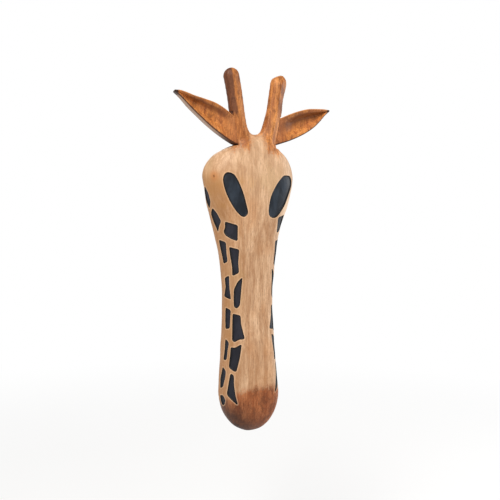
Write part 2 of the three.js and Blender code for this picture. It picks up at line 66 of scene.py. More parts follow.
# ---- Driving dimensions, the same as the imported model's, in millimetres ----
HORN_TIP_HEIGHT = 499.0
ORIGIN_HEIGHT = HORN_TIP_HEIGHT - 1000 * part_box("head_block")[1].z
NOSE_END = 55
CROWN_START = 353
CROWN_HEIGHT = 48.5
NOSE_MID_DEPTH = 23
NOSE_UNDERCUT = 36
CROWN_UNDERCUT_START = 382
HALF_WIDTH = [(55, 43.8), (110, 40), (180, 37.2), (230, 40.4), (280, 51.4), (320, 63.2), (353, 69.6)]
RIGHT_SHARE = [
    (0, 1), (60, 1), (110, 0.975), (180, 0.965), (230, 0.95), (280, 0.93), (310, 0.935), (335, 0.915),
    (360, 0.94), (385, 0.97), (402, 1),
]
NOSE_LEAN = [(0, 1.8), (40, 1.4), (75, 0)]
FRONT_DEPTH = [
    (55, 48.5), (110, 49), (180, 46), (240, 47.5), (300, 50), (345, 51), (380, 47.5), (403, 42),
]
FACE_HALF = [
    (0, 24), (60, 31), (104, 27.5), (180, 24.5), (240, 30), (285, 35.5), (300, 40), (313, 48),
    (330, 55.5), (345, 59), (403, 44),
]
FACE_EDGE = [(0, 1), (55, 1.3), (110, 2.1), (240, 2.2), (330, 2.2), (360, 1.5), (403, 1.2)]
FLANK_SHARE = [(0, 0.5), (60, 0.36), (110, 0.4), (180, 0.52), (260, 0.62), (353, 0.56), (403, 0.5)]
BACK_FLAT = [(0, 0.3), (60, 0.55), (110, 0.62), (180, 0.72), (260, 0.84), (353, 0.78), (403, 0.7)]
FLANK_FLARE = 1.14

FORK_BASE = 372
FORK = [
    (28, FORK_BASE), (30, 396), (38.2, 441), (40.6, 460), (45.6, 484), (45.6, 490.5), (43, 495),
    (38.8, 498.6), (32, 496.2), (24.6, 492), (22.8, 486), (21, 472), (17.4, 447), (14, 433), (11, 423),
    (8, 417), (4, 413.4), (-1, 411.8), (-6, 412), (-10, 415), (-12.8, 420), (-15, 428), (-17.4, 442),
    (-21.4, 468), (-25, 487), (-26.6, 493.5), (-31, 498), (-37.5, 499), (-43, 496.6), (-46.4, 492),
    (-47.4, 487), (-41.4, 460), (-38.5, 441), (-30, 396), (-28, FORK_BASE),
]
NOTCH_HEIGHT = 412
FORK_MIDDLE = -30
HORN_HALF_WIDTH = 11.5
HORN_EDGE_DEPTH = 5.4
HORN_RIDGE_DEPTH = 11.4
NECK_BLEND = 9

EAR_TIP_X = 115.8
EAR_UPPER = {
    -1: [
        (24, 426), (31, 431), (48, 442.6), (62, 449), (76, 452.2), (90, 455), (103, 458.6), (110, 460),
        (115.8, 459.6),
    ],
    1: [
        (24, 431), (33.6, 436.4), (50, 444.4), (66, 450.8), (82, 455.2), (98, 456.8), (108, 457.6),
        (115.8, 457.4),
    ],
}
EAR_LOWER = {
    -1: [
        (24, 395.2), (31.3, 396.6), (40, 400.4), (54.4, 408.6), (68.6, 418), (82.6, 429), (96.3, 440.4),
        (108, 451.4), (115.8, 457.4),
    ],
    1: [
        (24, 398), (35, 401.6), (50.6, 407.4), (63.3, 413.2), (76.2, 420.2), (89.1, 429.2), (99, 438.6),
        (108, 448.4), (115.8, 455.2),
    ],
}
EAR_FRONT = -37
EAR_BACK = -24
EAR_DISH = [(24, 0), (42, 1.5), (60, 6.5), (84, 7.5), (105, 4.5), (115.8, 1)]
EAR_BULGE = [(24, 3), (50, 4.5), (84, 5), (105, 2.5), (115.8, 0.5)]
EAR_TAPER = [(24, 1), (96, 1), (115.8, 0.66)]
SEAT_LOW = (27.6, 395.0)
SEAT_HIGH = (35.6, 440.5)
HOUSING_BACK = -19.5
PEG_RADIUS = 3.0
PEG_HALF_LENGTH = 13.0
PEG_HEIGHT_SHARE = 0.52
PEG_DEPTH = -30.0
GAP = 0.3
SEAT_GAP = 0.06  # the glued joint between an ear and the head

RECESS_DEPTH = 1.6
RIGHT_RISE = 12
EYES = [
    [
        (-46.2, 356.7), (-40.2, 355.2), (-35.6, 350.8), (-30, 340.6), (-24.4, 327.4), (-20.2, 313.5),
        (-18, 304.4), (-20.4, 300), (-24, 298.6), (-28.6, 300.8), (-36.5, 309.2), (-45.4, 323.4),
        (-50.6, 336), (-52.8, 347), (-50.6, 354),
    ],
    [
        (38.6, 356), (45.5, 357.2), (52.6, 356.8), (57, 352.6), (57.2, 346), (53, 335.5), (45.5, 321),
        (37, 309), (30.4, 301.7), (24.9, 298.6), (18.7, 298.8), (14.6, 302.5), (13.9, 311),
        (17, 325.5), (22.6, 337.6), (30, 348),
    ],
]
MARKINGS = [
    [
        (-50.5, 291.8), (-31.3, 287), (-30.9, 266), (-42.6, 269.6), (-49.7, 273.6), (-53.6, 278.6),
        (-50.6, 283.4),
    ],
    [(-44.2, 257.6), (-28.2, 254.5), (-29.1, 236.3), (-27.6, 222.9), (-38.1, 218.4), (-39.3, 231.4)],
    [
        (-22.6, 217), (-24.5, 192.5), (-25.4, 179), (-29.8, 174.3), (-34.7, 176), (-35.6, 186.2),
        (-35.2, 199.8), (-29.1, 210.4),
    ],
    [
        (-36.9, 166.6), (-24.4, 165.4), (-23.7, 152.7), (-19, 133.8), (-26.9, 133.1), (-34, 128.8),
        (-37.9, 130.8), (-37.4, 149.2),
    ],
    [
        (-23.3, 126.7), (-25.8, 108.3), (-30.3, 89.6), (-35, 90.3), (-42.4, 94), (-41.8, 104.2),
        (-40.5, 121), (-33.2, 121),
    ],
    [
        (-39.6, 84.4), (-37, 85.8), (-33.6, 83.6), (-33.3, 69.7), (-31.5, 56.2), (-28.4, 43.8),
        (-37, 50.8), (-44.7, 56.7), (-42, 70.7),
    ],
    [(-87, 340), (-79, 330), (-75, 319), (-78, 309.5), (-86, 321), (-92, 333)],
    [
        (-72.2, 310.3), (-63.5, 302.5), (-57.5, 292.4), (-61.9, 284.6), (-63.8, 277.4), (-69.4, 289),
        (-75.4, 303),
    ],
    [(-62.7, 267.2), (-49.8, 263.7), (-49.6, 249.6), (-48, 237.6), (-55.9, 234.3), (-59.4, 249)],
    [(-44.7, 218.4), (-43.7, 200.6), (-40.7, 185.6), (-54.3, 188.8), (-51.5, 202), (-53.7, 214.4)],
    [(-51.2, 173.8), (-41, 170.8), (-41.6, 158.4), (-42.7, 146.5), (-51.5, 144.3), (-51.4, 159.6)],
    [(-51.1, 131), (-43.8, 126.7), (-46.6, 117), (-48.2, 103.1), (-54.9, 101.9), (-52.4, 116)],
    [(-55.4, 92.4), (-48.1, 87.5), (-49.4, 77), (-53, 65.6), (-60, 62.4), (-59.2, 76.4)],
    [(-60, 52.6), (-52.2, 53.8), (-47.8, 48.2), (-50.4, 41.2), (-54.6, 38.7), (-58.8, 45)],
]

HOLLOW_BOTTOM = 44
HOLLOW_TOP = 304
HOLLOW_DEPTH = 25
HOLLOW_WIDTH_SHARE = 0.62
GOUGE_WIDTH, GOUGE_RIDGE = 7.5, 0.6  # width of the gouge's cuts, height of the ridges between them
RECESS_LOW = 324
RECESS_HIGH = 380
RECESS_HALF = 17
HANGER_RECESS_DEPTH = 7
RECESS_CORNER = 6

STRAP_WIDTH = 15.0
STRAP_BOTTOM = 328.0
STRAP_THICKNESS = 1.0
EYE_WALL = 0.9
RING_WIRE = 1.1
RING_AXIS = 357.0
RING_INNER_HALF = 9.4
RING_CORNER = 3.2
RING_DROP = 15.0
SCREW_SHANK = 1.45
SCREW_HEAD = 3.1
SCREW_HEAD_HEIGHT = 1.9
SCREW_LENGTH = 14.0
SCREW_HEIGHTS = {"strap_screw_upper": 348.0, "strap_screw_lower": 335.5}

# Where the stains end. Girth is the distance over the skin from the middle of the face.
NOSE_STAIN = [
    (-70, 40), (-50, 44), (-38, 49), (-28, 58), (-12, 63), (10, 65), (26, 65), (40, 63), (60, 59),
]
LEFT_STAIN_FOOT, RIGHT_STAIN_FOOT = 391, 387  # lowest height of the stain below each horn
STAIN_REACH = 35  # the stain stops this far to either side of the middle
PALE_LEFT, PALE_RIGHT = 10.5, 7.5  # half widths of the bare wood between the horns, at the notch
FACET_RIDGE = [(436, -29.2), (487, -38.6)]  # (height, x) of the left horn's ridge
KNOT = (-66, 352)  # (girth, height) of a small dark knot beside the left eye

# ---- Finish of the fine meshes ----
VOXEL = 1.6  # grain of the carved surface before its edges are refined
EDGE_BAND = 2.4  # the skin within this distance of a recess's edge is refined
WALL = 0.9  # run over which a recess drops to its floor
MARK_CORNER = 1.3  # radius at the corners of the coat markings
UNEVEN = 0.22  # slight waviness of the hand-carved skin


# ---- Curves ----
def along(stations, x):
    """Values at x of a smooth curve through (x, value) stations, with no overshoot."""
    at, value = np.array(stations, float).T
    steep = np.diff(value) / np.diff(at)
    before, after = steep[:-1], steep[1:]
    same_way = before * after > 0
    total = np.where(same_way, before + after, 1)
    middle = np.where(same_way, 2 * before * after / total, 0)
    slope = np.concatenate([steep[:1], middle, steep[-1:]])
    x = np.clip(np.asarray(x, float), at[0], at[-1])
    i = np.clip(np.searchsorted(at, x, side="right") - 1, 0, len(at) - 2)
    span = at[i + 1] - at[i]
    t = (x - at[i]) / span
    start = value[i] * (1 + 2 * t) + span * slope[i] * t
    end = value[i + 1] * (3 - 2 * t) - span * slope[i + 1] * (1 - t)
    return start * (1 - t) ** 2 + end * t**2


def domed(share, power):
    """Height of a superellipse's quarter: 1 at share 0, falling to 0 at share 1."""
    return np.sqrt(np.maximum(0, 1 - np.clip(share, 0, 1) ** power))


def smoothstep(low, high, x):
    t = np.clip((x - low) / (high - low), 0, 1)
    return t * t * (3 - 2 * t)


def ripple(points, wavelength, seed, waves=14):
    """Smooth noise between about -1 and 1: a sum of sine waves in random directions."""
    rng = np.random.default_rng(seed)
    wavelength = np.broadcast_to(np.asarray(wavelength, float), (3,))
    total = np.zeros(len(points))
    for _ in range(waves):
        direction = rng.normal(size=3)
        direction *= rng.uniform(0.6, 1.5) / np.linalg.norm(direction)
        total += np.sin(points @ (2 * math.pi * direction / wavelength) + rng.uniform(0, 2 * math.pi))
    return total / math.sqrt(waves)


def rounded(polygon, radius, steps=4):
    """The polygon with each corner rounded over by a quadratic curve."""
    points = np.array(polygon, float)
    result = []
    for i, corner in enumerate(points):
        before, after = points[i - 1] - corner, points[(i + 1) % len(points)] - corner
        a, b = (side * min(0.4, radius / np.linalg.norm(side)) for side in (before, after))
        for t in np.linspace(0, 1, steps + 1):
            result.append(corner + a * (1 - t) ** 2 + b * t**2)
    return np.array(result)


def smooth_loop(points, steps=6):
    """A closed Catmull-Rom curve through the points."""
    p = np.array(points, float)
    result = []
    for i in range(len(p)):
        a, b, c, d = p[i - 1], p[i], p[(i + 1) % len(p)], p[(i + 2) % len(p)]
        for t in np.arange(steps) / steps:
            bend = (2 * a - 5 * b + 4 * c - d) * t**2 + (3 * b - a - 3 * c + d) * t**3
            result.append(b + 0.5 * ((c - a) * t + bend))
    return np.array(result)


def polygon_distance(points, polygon):
    """Signed distance from points to a polygon's edge in the plane, positive inside."""
    nearest = np.full(len(points), np.inf)
    inside = np.zeros(len(points), bool)
    for a, b in zip(polygon, np.roll(polygon, -1, axis=0)):
        edge = b - a
        offset = points - a
        t = np.clip(offset @ edge / (edge @ edge), 0, 1)
        nearest = np.minimum(nearest, ((offset - t[:, None] * edge) ** 2).sum(1))
        crosses = (a[1] > points[:, 1]) != (b[1] > points[:, 1])
        if crosses.any():
            run = edge[0] * (points[:, 1] - a[1]) / (edge[1] or 1e-9)
            inside ^= crosses & (points[:, 0] < a[0] + run)
    return np.where(inside, 1, -1) * np.sqrt(nearest)


# ---- The head's form ----
def nose_share(height, length):
    return np.maximum(0, length - height) / length


def half_width(height):
    height = np.asarray(height, float)
    nose = HALF_WIDTH[0][1] * domed(nose_share(height, NOSE_END), 2.1)
    crown = HALF_WIDTH[-1][1] * domed((height - CROWN_START) / CROWN_HEIGHT, 2)
    body = along(HALF_WIDTH, height)
    return np.where(height < NOSE_END, nose, np.where(height > CROWN_START, crown, body))


def front_depth(height):
    reach = FRONT_DEPTH[0][1] - NOSE_MID_DEPTH
    nose = NOSE_MID_DEPTH + reach * domed(nose_share(height, NOSE_END), 2.4)
    return np.where(height < NOSE_END, nose, along(FRONT_DEPTH, height))


def back_depth(height):
    nose = NOSE_MID_DEPTH * (1 - domed(nose_share(height, NOSE_UNDERCUT), 2.2))
    crown = 0.035 * np.maximum(0, height - CROWN_UNDERCUT_START) ** 2
    return np.where(height < NOSE_UNDERCUT, nose, crown)


def conic(a, b, c, weight, steps):
    """Points of the conics from a to c with corners at b, for many heights at once."""
    t = np.linspace(0, 1, steps + 1)[None, :, None]
    u, v, w = (1 - t) ** 2, 2 * weight[:, None, None] * t * (1 - t), t * t
    return (u * a[:, None] + v * b[:, None] + w * c[:, None]) / (u + v + w)


def half_outlines(heights, face_steps=48, flank_steps=24, back_steps=6):
    """Half outlines of the head at the heights: [height, point, (x, y)], from front to back."""
    width, front, back = half_width(heights), -front_depth(heights), -back_depth(heights)
    face_half = np.minimum(along(FACE_HALF, heights), 0.92 * width)
    foot = FLANK_FLARE * width
    share = along(FLANK_SHARE, heights)
    middle = np.stack([np.zeros_like(front), front], 1)
    edge = np.stack([face_half, front], 1)
    turn = np.stack([face_half + (foot - face_half) * share, front + (back - front) * share], 1)
    heel = np.stack([foot, back], 1)
    rim = np.stack([along(BACK_FLAT, heights) * width, back], 1)
    face = conic(middle, edge, turn, along(FACE_EDGE, heights), face_steps)
    flank = conic(turn, heel, rim, np.full(len(heights), 0.9), flank_steps)[:, 1:]
    outline = np.concatenate([face, flank], 1)
    outline[:, :, 0] *= (width / np.maximum(outline[:, :, 0].max(1), 1e-6))[:, None]
    inward = 1 - np.linspace(0, 1, back_steps + 1)[1:]
    land = np.stack([outline[:, -1:, 0] * inward, np.repeat(back[:, None], back_steps, 1)], 2)
    return np.concatenate([outline, land], 1)


def leaned(points):
    """The symmetrical head's points with the carver's own unevenness: a narrower right side."""
    x, z = points[:, 0], points[:, 2]
    share = np.where(x > 0, along(RIGHT_SHARE, z), 1)
    return np.stack([x * share + along(NOSE_LEAN, z), points[:, 1], z], 1)


def straightened(points):
    """The opposite of leaned."""
    z = points[:, 2]
    x = points[:, 0] - along(NOSE_LEAN, z)
    return np.stack([x / np.where(x > 0, along(RIGHT_SHARE, z), 1), points[:, 1], z], 1)


def girth_map(points):
    """Distance over the skin from the middle of the face, and distance off the skin, per point."""
    points = straightened(points)
    levels = np.clip(np.round(points[:, 2]), 1, CROWN_START + CROWN_HEIGHT - 1).astype(int)
    outlines = half_outlines(np.arange(0, CROWN_START + CROWN_HEIGHT, dtype=float))
    steps = np.linalg.norm(np.diff(outlines, axis=1), axis=2)
    lengths = np.concatenate([np.zeros((len(outlines), 1)), np.cumsum(steps, 1)], 1)
    girth = np.zeros(len(points))
    off = np.full(len(points), np.inf)
    for start in range(0, len(points), 20000):
        rows = slice(start, start + 20000)
        curve, length = outlines[levels[rows]], lengths[levels[rows]]
        spot = np.stack([np.abs(points[rows, 0]), points[rows, 1]], 1)[:, None]
        edge = np.diff(curve, axis=1)
        t = ((spot - curve[:, :-1]) * edge).sum(2) / np.maximum((edge**2).sum(2), 1e-9)
        t = np.clip(t, 0, 1)
        distance = np.linalg.norm(curve[:, :-1] + edge * t[:, :, None] - spot, axis=2)
        best = distance.argmin(1)
        pick = np.arange(len(best))
        span = length[pick, best + 1] - length[pick, best]
        girth[rows] = length[pick, best] + t[pick, best] * span
        off[rows] = distance[pick, best]
    return girth * np.sign(points[:, 0]), off


def recess_outlines():
    """Outlines of the eyes and of the coat markings, in (girth, height)."""
    right = [[(-girth, height + RIGHT_RISE) for girth, height in outline] for outline in MARKINGS]
    eyes = [smooth_loop(outline) for outline in EYES]
    return eyes, [rounded(outline, MARK_CORNER * 2) for outline in MARKINGS + right]


def recess_distance(girth, height, outlines, reach=12.0):
    """Signed distance in millimetres to the nearest outline, positive inside, at most reach."""
    spots = np.stack([girth, height], 1)
    result = np.full(len(spots), -reach)
    for outline in outlines:
        low, high = outline.min(0) - reach, outline.max(0) + reach
        near = ((spots > low) & (spots < high)).all(1)
        result[near] = np.maximum(result[near], polygon_distance(spots[near], outline))
    return result


# ---- Fields on a grid: distances in millimetres, negative inside ----
GRID_LOW = np.array([-80.0, -60.0, -6.0])
GRID_SHAPE = tuple(int(size / VOXEL) for size in (160, 66, 512))


def grid_axes():
    return [GRID_LOW[k] + VOXEL * np.arange(GRID_SHAPE[k]) for k in range(3)]


def head_field():
    """Distance to the lofted head, exact within the band that the blends need."""
    quarter = math.pi / 2
    nose = NOSE_END * (1 - np.cos(quarter * (np.arange(24) + 0.3) / 24))
    body = np.linspace(NOSE_END, CROWN_START, 150)
    crown = CROWN_START + CROWN_HEIGHT * np.sin(quarter * (np.arange(24) + 0.7) / 24.4)
    heights = np.concatenate([nose, body, crown])
    half = half_outlines(heights, 30, 14, 4)
    other = half[:, -2:0:-1] * [-1, 1]
    rings = np.concatenate([half, other], 1)
    count = rings.shape[1]
    points = np.concatenate([rings, np.repeat(heights[:, None, None], count, 1)], 2).reshape(-1, 3)
    ends = [points[:count].mean(0), points[-count:].mean(0)]
    points = leaned(np.vstack([points, ends]))
    i = np.arange(count)
    after = (i + 1) % count
    quads = [np.stack([j + i, j + after, j + count + after, j + count + i], 1)
             for j in range(0, count * (len(heights) - 1), count)]
    last = count * (len(heights) - 1)
    fans = [np.stack([after, i, np.full(count, len(points) - 2)], 1),
            np.stack([last + i, last + after, np.full(count, len(points) - 1)], 1)]
    transform = openvdb.createLinearTransform(voxelSize=VOXEL)
    level_set = openvdb.FloatGrid.createLevelSetFromPolygons(
        (points - GRID_LOW).astype(np.float32),
        triangles=np.concatenate(fans).astype(np.uint32),
        quads=np.concatenate(quads).astype(np.uint32),
        transform=transform,
        halfWidth=10.0,
    )
    field = np.zeros(GRID_SHAPE, np.float32)
    level_set.copyToArray(field)
    return field


def fork_field(x, y, z):
    """The neck and horns: a forked slab, ridged along the middle of each horn."""
    outline = rounded(FORK, 3.0)
    plane = np.stack(np.meshgrid(x, z, indexing="ij"), 2).reshape(-1, 2)
    flat = -polygon_distance(plane, outline).reshape(len(x), 1, len(z))
    inset = np.clip(-flat, 0, HORN_HALF_WIDTH)
    share = inset / HORN_HALF_WIDTH
    thick = HORN_EDGE_DEPTH + (HORN_RIDGE_DEPTH - HORN_EDGE_DEPTH) * share
    thick = thick - 3.2 * (1 - np.clip(inset / 3.0, 0, 1)) ** 2
    slab = (np.abs(y[None, :, None] - FORK_MIDDLE) - thick) * 0.9
    return np.maximum(slab, flat)


def blend_union(a, b, size):
    """The union of two fields, with a fillet of about that size."""
    h = np.clip(0.5 + 0.5 * (b - a) / size, 0, 1)
    return b * (1 - h) + a * h - size * h * (1 - h)


def hollow_field(x, y, z):
    """The trough carved out of the back, with a gouge's long shallow cuts over it."""
    middle, half = (HOLLOW_TOP + HOLLOW_BOTTOM) / 2, (HOLLOW_TOP - HOLLOW_BOTTOM) / 2
    end = domed(np.abs(z - middle) / half, 5)
    across = np.maximum(HOLLOW_WIDTH_SHARE * half_width(z) * end, 0.5)[None, None, :]
    deep = np.maximum(HOLLOW_DEPTH * end, 0.5)[None, None, :]
    u = np.abs(x)[:, None, None] / across
    v = np.minimum(y, 0)[None, :, None] / deep
    radius = np.sqrt(u**2.6 + v**2)
    scale = np.minimum(across, deep) * 0.85
    wander = 2.5 * np.sin(z / 23)[None, None, :] + 1.6 * np.sin(z / 9 + 1)[None, None, :]
    ridges = GOUGE_RIDGE * np.abs(np.sin(math.pi * (x[:, None, None] + wander) / GOUGE_WIDTH))
    return (radius - 1) * scale + ridges


def carved_field():
    """The whole head block, without the recesses and the joiner's cuts."""
    x, y, z = grid_axes()
    field = head_field()
    top = z > FORK_BASE - 30
    fork = fork_field(x, y, z[top])
    field[:, :, top] = blend_union(field[:, :, top], fork, NECK_BLEND)
    hollow = hollow_field(x, y, z)
    return -blend_union(-field, hollow, 2.5)


def sample(field, points):
    """Values of the field at points, by linear interpolation."""
    at = (points - GRID_LOW) / VOXEL
    low = np.clip(np.floor(at).astype(int), 0, np.array(GRID_SHAPE) - 2)
    t = at - low
    value = np.zeros(len(points))
    for corner in np.ndindex(2, 2, 2):
        weight = np.prod(np.where(corner, t, 1 - t), axis=1)
        i, j, k = (low + corner).T
        value += weight * field[i, j, k]
    return value


def gradient(field, points, step=VOXEL * 0.6):
    parts = []
    for offset in np.eye(3) * step:
        parts.append(sample(field, points + offset) - sample(field, points - offset))
    return np.stack(parts, 1) / (2 * step)


def onto_surface(field, points, rounds=2):
    """The points moved along the field's slope onto its surface."""
    for _ in range(rounds):
        slope = gradient(field, points)
        size = np.maximum((slope**2).sum(1), 0.05)
        move = slope * (sample(field, points) / size)[:, None]
        points = points - np.clip(move, -0.6, 0.6)
    return points


# ---- Meshes ----
def to_frame(points):
    """Millimetres from the nose tip to metres in the frame."""
    return (np.asarray(points, float) - [0, 0, ORIGIN_HEIGHT]) / 1000


def mesh_object(name, points, faces):
    """An object with these points and faces, the faces turned outwards."""
    mesh = bpy.data.meshes.new(name)
    mesh.from_pydata(to_frame(points).tolist(), [], [list(map(int, face)) for face in faces])
    mesh.validate()
    work = bmesh.new()
    work.from_mesh(mesh)
    bmesh.ops.recalc_face_normals(work, faces=work.faces)
    work.to_mesh(mesh)
    work.free()
    piece = bpy.data.objects.new(name, mesh)
    bpy.context.scene.collection.objects.link(piece)
    return piece


def tube_faces(rings, around, closed=False):
    """Quads between rings of points; if closed, the last ring joins the first."""
    faces = []
    for j in range(rings if closed else rings - 1):
        here, there = j * around, (j + 1) % rings * around
        for i in range(around):
            after = (i + 1) % around
            faces.append((here + i, here + after, there + after, there + i))
    return faces


def end_fans(rings, around):
    """Triangles that close a tube's ends on two centre points, listed after its rings."""
    last, centre = (rings - 1) * around, rings * around
    faces = []
    for i in range(around):
        after = (i + 1) % around
        faces += [(centre, after, i), (centre + 1, last + i, last + after)]
    return faces


def positions(piece):
    """The piece's points in millimetres from the nose tip."""
    flat = np.zeros(len(piece.data.vertices) * 3, np.float32)
    piece.data.vertices.foreach_get("co", flat)
    return flat.reshape(-1, 3).astype(float) * 1000 + [0, 0, ORIGIN_HEIGHT]


def set_positions(piece, points):
    piece.data.vertices.foreach_set("co", to_frame(points).astype(np.float32).ravel())
    piece.data.update()


def set_attributes(piece, fields):
    """Stores one number per point for each named field, for the materials to read."""
    for name, values in fields.items():
        attribute = piece.data.attributes.new(name, "FLOAT", "POINT")
        attribute.data.foreach_set("value", np.asarray(values, np.float32))


def apply_modifiers(piece):
    bpy.context.view_layer.update()
    graph = bpy.context.evaluated_depsgraph_get()
    mesh = bpy.data.meshes.new_from_object(piece.evaluated_get(graph))
    piece.modifiers.clear()
    piece.data = mesh


def smooth_shaded(piece, angle=40.0):
    """Smooth shading, with the creases sharper than the angle kept."""
    mesh = piece.data
    mesh.polygons.foreach_set("use_smooth", np.ones(len(mesh.polygons), bool))
    work = bmesh.new()
    work.from_mesh(mesh)
    limit = math.radians(angle)
    for edge in work.edges:
        edge.smooth = len(edge.link_faces) == 2 and edge.calc_face_angle(0) < limit
    work.to_mesh(mesh)
    work.free()


def cut(piece, cutter):
    """Cuts the cutter out of the piece and removes it."""
    modifier = piece.modifiers.new("cut", "BOOLEAN")
    modifier.operation = "DIFFERENCE"
    modifier.solver = "EXACT"
    modifier.object = cutter
    apply_modifiers(piece)
    bpy.data.objects.remove(cutter)
    return piece


def prism(name, outline, low, high, place):
    """A straight solid: an outline in two directions, drawn out along the third."""
    count = len(outline)
    points = [place(a, b, end) for end in (low, high) for a, b in outline]
    ends = [tuple(range(count))[::-1], tuple(range(count, 2 * count))]
    return mesh_object(name, points, tube_faces(2, count) + ends)


def facing_back(a, b, end):
    """Places an outline given in (x, height), drawn out through the depth."""
    return (a, end, b)


def facing_side(a, b, end):
    """Places an outline given in (depth, height), drawn out across the width."""
    return (end, a, b)


def circle(radius, count, centre=(0, 0)):
    angles = 2 * math.pi * np.arange(count) / count
    return [(centre[0] + radius * math.cos(a), centre[1] + radius * math.sin(a)) for a in angles]


# ---- The ear's seat ----
seat_up = np.array([SEAT_HIGH[0] - SEAT_LOW[0], 0, SEAT_HIGH[1] - SEAT_LOW[1]])
SEAT_LENGTH = float(np.linalg.norm(seat_up))
seat_up = seat_up / SEAT_LENGTH
seat_out = np.array([seat_up[2], 0, -seat_up[0]])
seat_origin = np.array([SEAT_LOW[0], 0, SEAT_LOW[1]])
peg_centre = seat_origin + seat_up * SEAT_LENGTH * PEG_HEIGHT_SHARE + [0, PEG_DEPTH, 0]


def on_seat(side):
    """Places (distance up the seat, depth, distance out of it) for the ear on that side."""
    def place(up, depth, out):
        p = seat_origin + seat_up * up + seat_out * out
        return (side * p[0], depth, p[2])
    return place


def on_peg(side):
    """Places (up, depth) offsets across a peg and a distance along it."""
    def place(up, depth, out):
        p = peg_centre + seat_up * up + seat_out * out
        return (side * p[0], p[1] + depth, p[2])
    return place


# ---- Pieces ----
def refine_near(piece, near):
    """Splits the faces that have a point marked near into quarters."""
    work = bmesh.new()
    work.from_mesh(piece.data)
    work.verts.ensure_lookup_table()
    edges = {edge for face in work.faces if any(near[v.index] for v in face.verts) for edge in face.edges}
    bmesh.ops.subdivide_edges(work, edges=list(edges), cuts=1, use_grid_fill=True)
    work.to_mesh(piece.data)
    work.free()


def head_marks(points):
    """Signed distances of the points to the eyes and to the coat markings."""
    girth, off = girth_map(points)
    eyes, markings = recess_outlines()
    height = points[:, 2]
    skin = (off < 4) & (points[:, 1] < -2) & (height < 392)
    eye = np.where(skin, recess_distance(girth, height, eyes), -12)
    mark = np.where(skin, recess_distance(girth, height, markings), -12)
    return eye, mark, girth


def hanger_recess_cutter():
    """A block with upright rounded corners."""
    half_height = (RECESS_HIGH - RECESS_LOW) / 2
    middle = (RECESS_HIGH + RECESS_LOW) / 2
    outline = []
    for turn, (x_side, z_side) in enumerate(((1, -1), (1, 1), (-1, 1), (-1, -1))):
        x = x_side * (RECESS_HALF - RECESS_CORNER)
        z = middle + z_side * (half_height - RECESS_CORNER)
        for degrees in range(90 * turn - 90, 90 * turn + 1, 15):
            angle = math.radians(degrees)
            outline.append((x + RECESS_CORNER * math.cos(angle), z + RECESS_CORNER * math.sin(angle)))
    return prism("hanger_recess", outline, -HANGER_RECESS_DEPTH, 6, facing_back)


def make_head():
    field = carved_field()
    grid = openvdb.FloatGrid(10.0)
    grid.copyFromArray(field.astype(np.float32))
    grid.gridClass = openvdb.GridClass.LEVEL_SET
    points, triangles, quads = grid.convertToPolygons(isovalue=0.0, adaptivity=0.0)
    points = points * VOXEL + GRID_LOW
    piece = mesh_object("carved_head", points, [*quads.tolist(), *triangles.tolist()])
    eye, mark, _ = head_marks(positions(piece))
    refine_near(piece, np.abs(np.maximum(eye, mark)) < EDGE_BAND)
    points = onto_surface(field, positions(piece))
    slope = gradient(field, points)
    normal = slope / np.linalg.norm(slope, axis=1)[:, None]
    eye, mark, _ = head_marks(points)
    depth = RECESS_DEPTH * smoothstep(0, WALL, np.maximum(eye, mark))
    depth = depth + UNEVEN * ripple(points, (24, 24, 36), 6)
    points = points - normal * depth[:, None]
    set_positions(piece, points)

    cut(piece, hanger_recess_cutter())
    for side in (-1, 1):
        seat = [(0, -60), (SEAT_LENGTH, -60), (SEAT_LENGTH, HOUSING_BACK), (0, HOUSING_BACK)]
        bore = circle(PEG_RADIUS + GAP, 32)
        cut(piece, prism("housing", seat, 0, 26, on_seat(side)))
        cut(piece, prism("bore", bore, -PEG_HALF_LENGTH - 2 * GAP, 8, on_peg(side)))
    for height in SCREW_HEIGHTS.values():
        hole = circle(SCREW_SHANK + GAP, 24, (0, height))
        bottom = -HANGER_RECESS_DEPTH + 1 - SCREW_LENGTH
        cut(piece, prism("hole", hole, bottom, -2, facing_back))

    points = positions(piece)
    eye, mark, girth = head_marks(points)
    stain, facet = head_stain(points, girth), dark_facet(points)
    knot = np.hypot(girth - KNOT[0], points[:, 2] - KNOT[1])
    fields = {"eye": eye, "mark": mark, "girth": girth, "stain": stain, "facet": facet, "knot": knot}
    set_attributes(piece, {**fields, "raw": raw_wood(points)})
    smooth_shaded(piece, 50)
    return piece


def head_stain(points, girth):
    """How far each point is inside the stained zones, in millimetres: horns above, nose below."""
    x, z = points[:, 0], points[:, 2]
    drop = np.clip(NOTCH_HEIGHT - z, 0, 30)
    beside = np.maximum(-x - PALE_LEFT - 0.25 * drop, x - PALE_RIGHT - 0.2 * drop)
    streaks = 3.2 * ripple(points, (5, 30, 60), 3) + 1.5 * ripple(points, (14, 30, 30), 5)
    above = z - np.where(x < 0, LEFT_STAIN_FOOT, RIGHT_STAIN_FOOT) + streaks
    horns = np.minimum(np.maximum(beside + 0.3 * streaks, z - NOTCH_HEIGHT), above)
    horns = np.minimum(horns, STAIN_REACH - np.abs(x))
    horns = np.where(z > NOTCH_HEIGHT - 7, np.maximum(horns, z - NOTCH_HEIGHT), horns)
    nose = np.interp(girth, *np.array(NOSE_STAIN).T) - z + 2 * ripple(points, (9, 20, 12), 4)
    return np.maximum(horns, nose)


def dark_facet(points):
    """1 where the left horn's outer facet took up more stain."""
    x, y, z = points.T
    ridge = np.interp(z, *np.array(FACET_RIDGE).T)
    facet = smoothstep(-0.8, 0.8, ridge - x + 0.5 * ripple(points, (20, 20, 40), 8))
    return facet * smoothstep(432, 441, z) * (y < FORK_MIDDLE + 6)


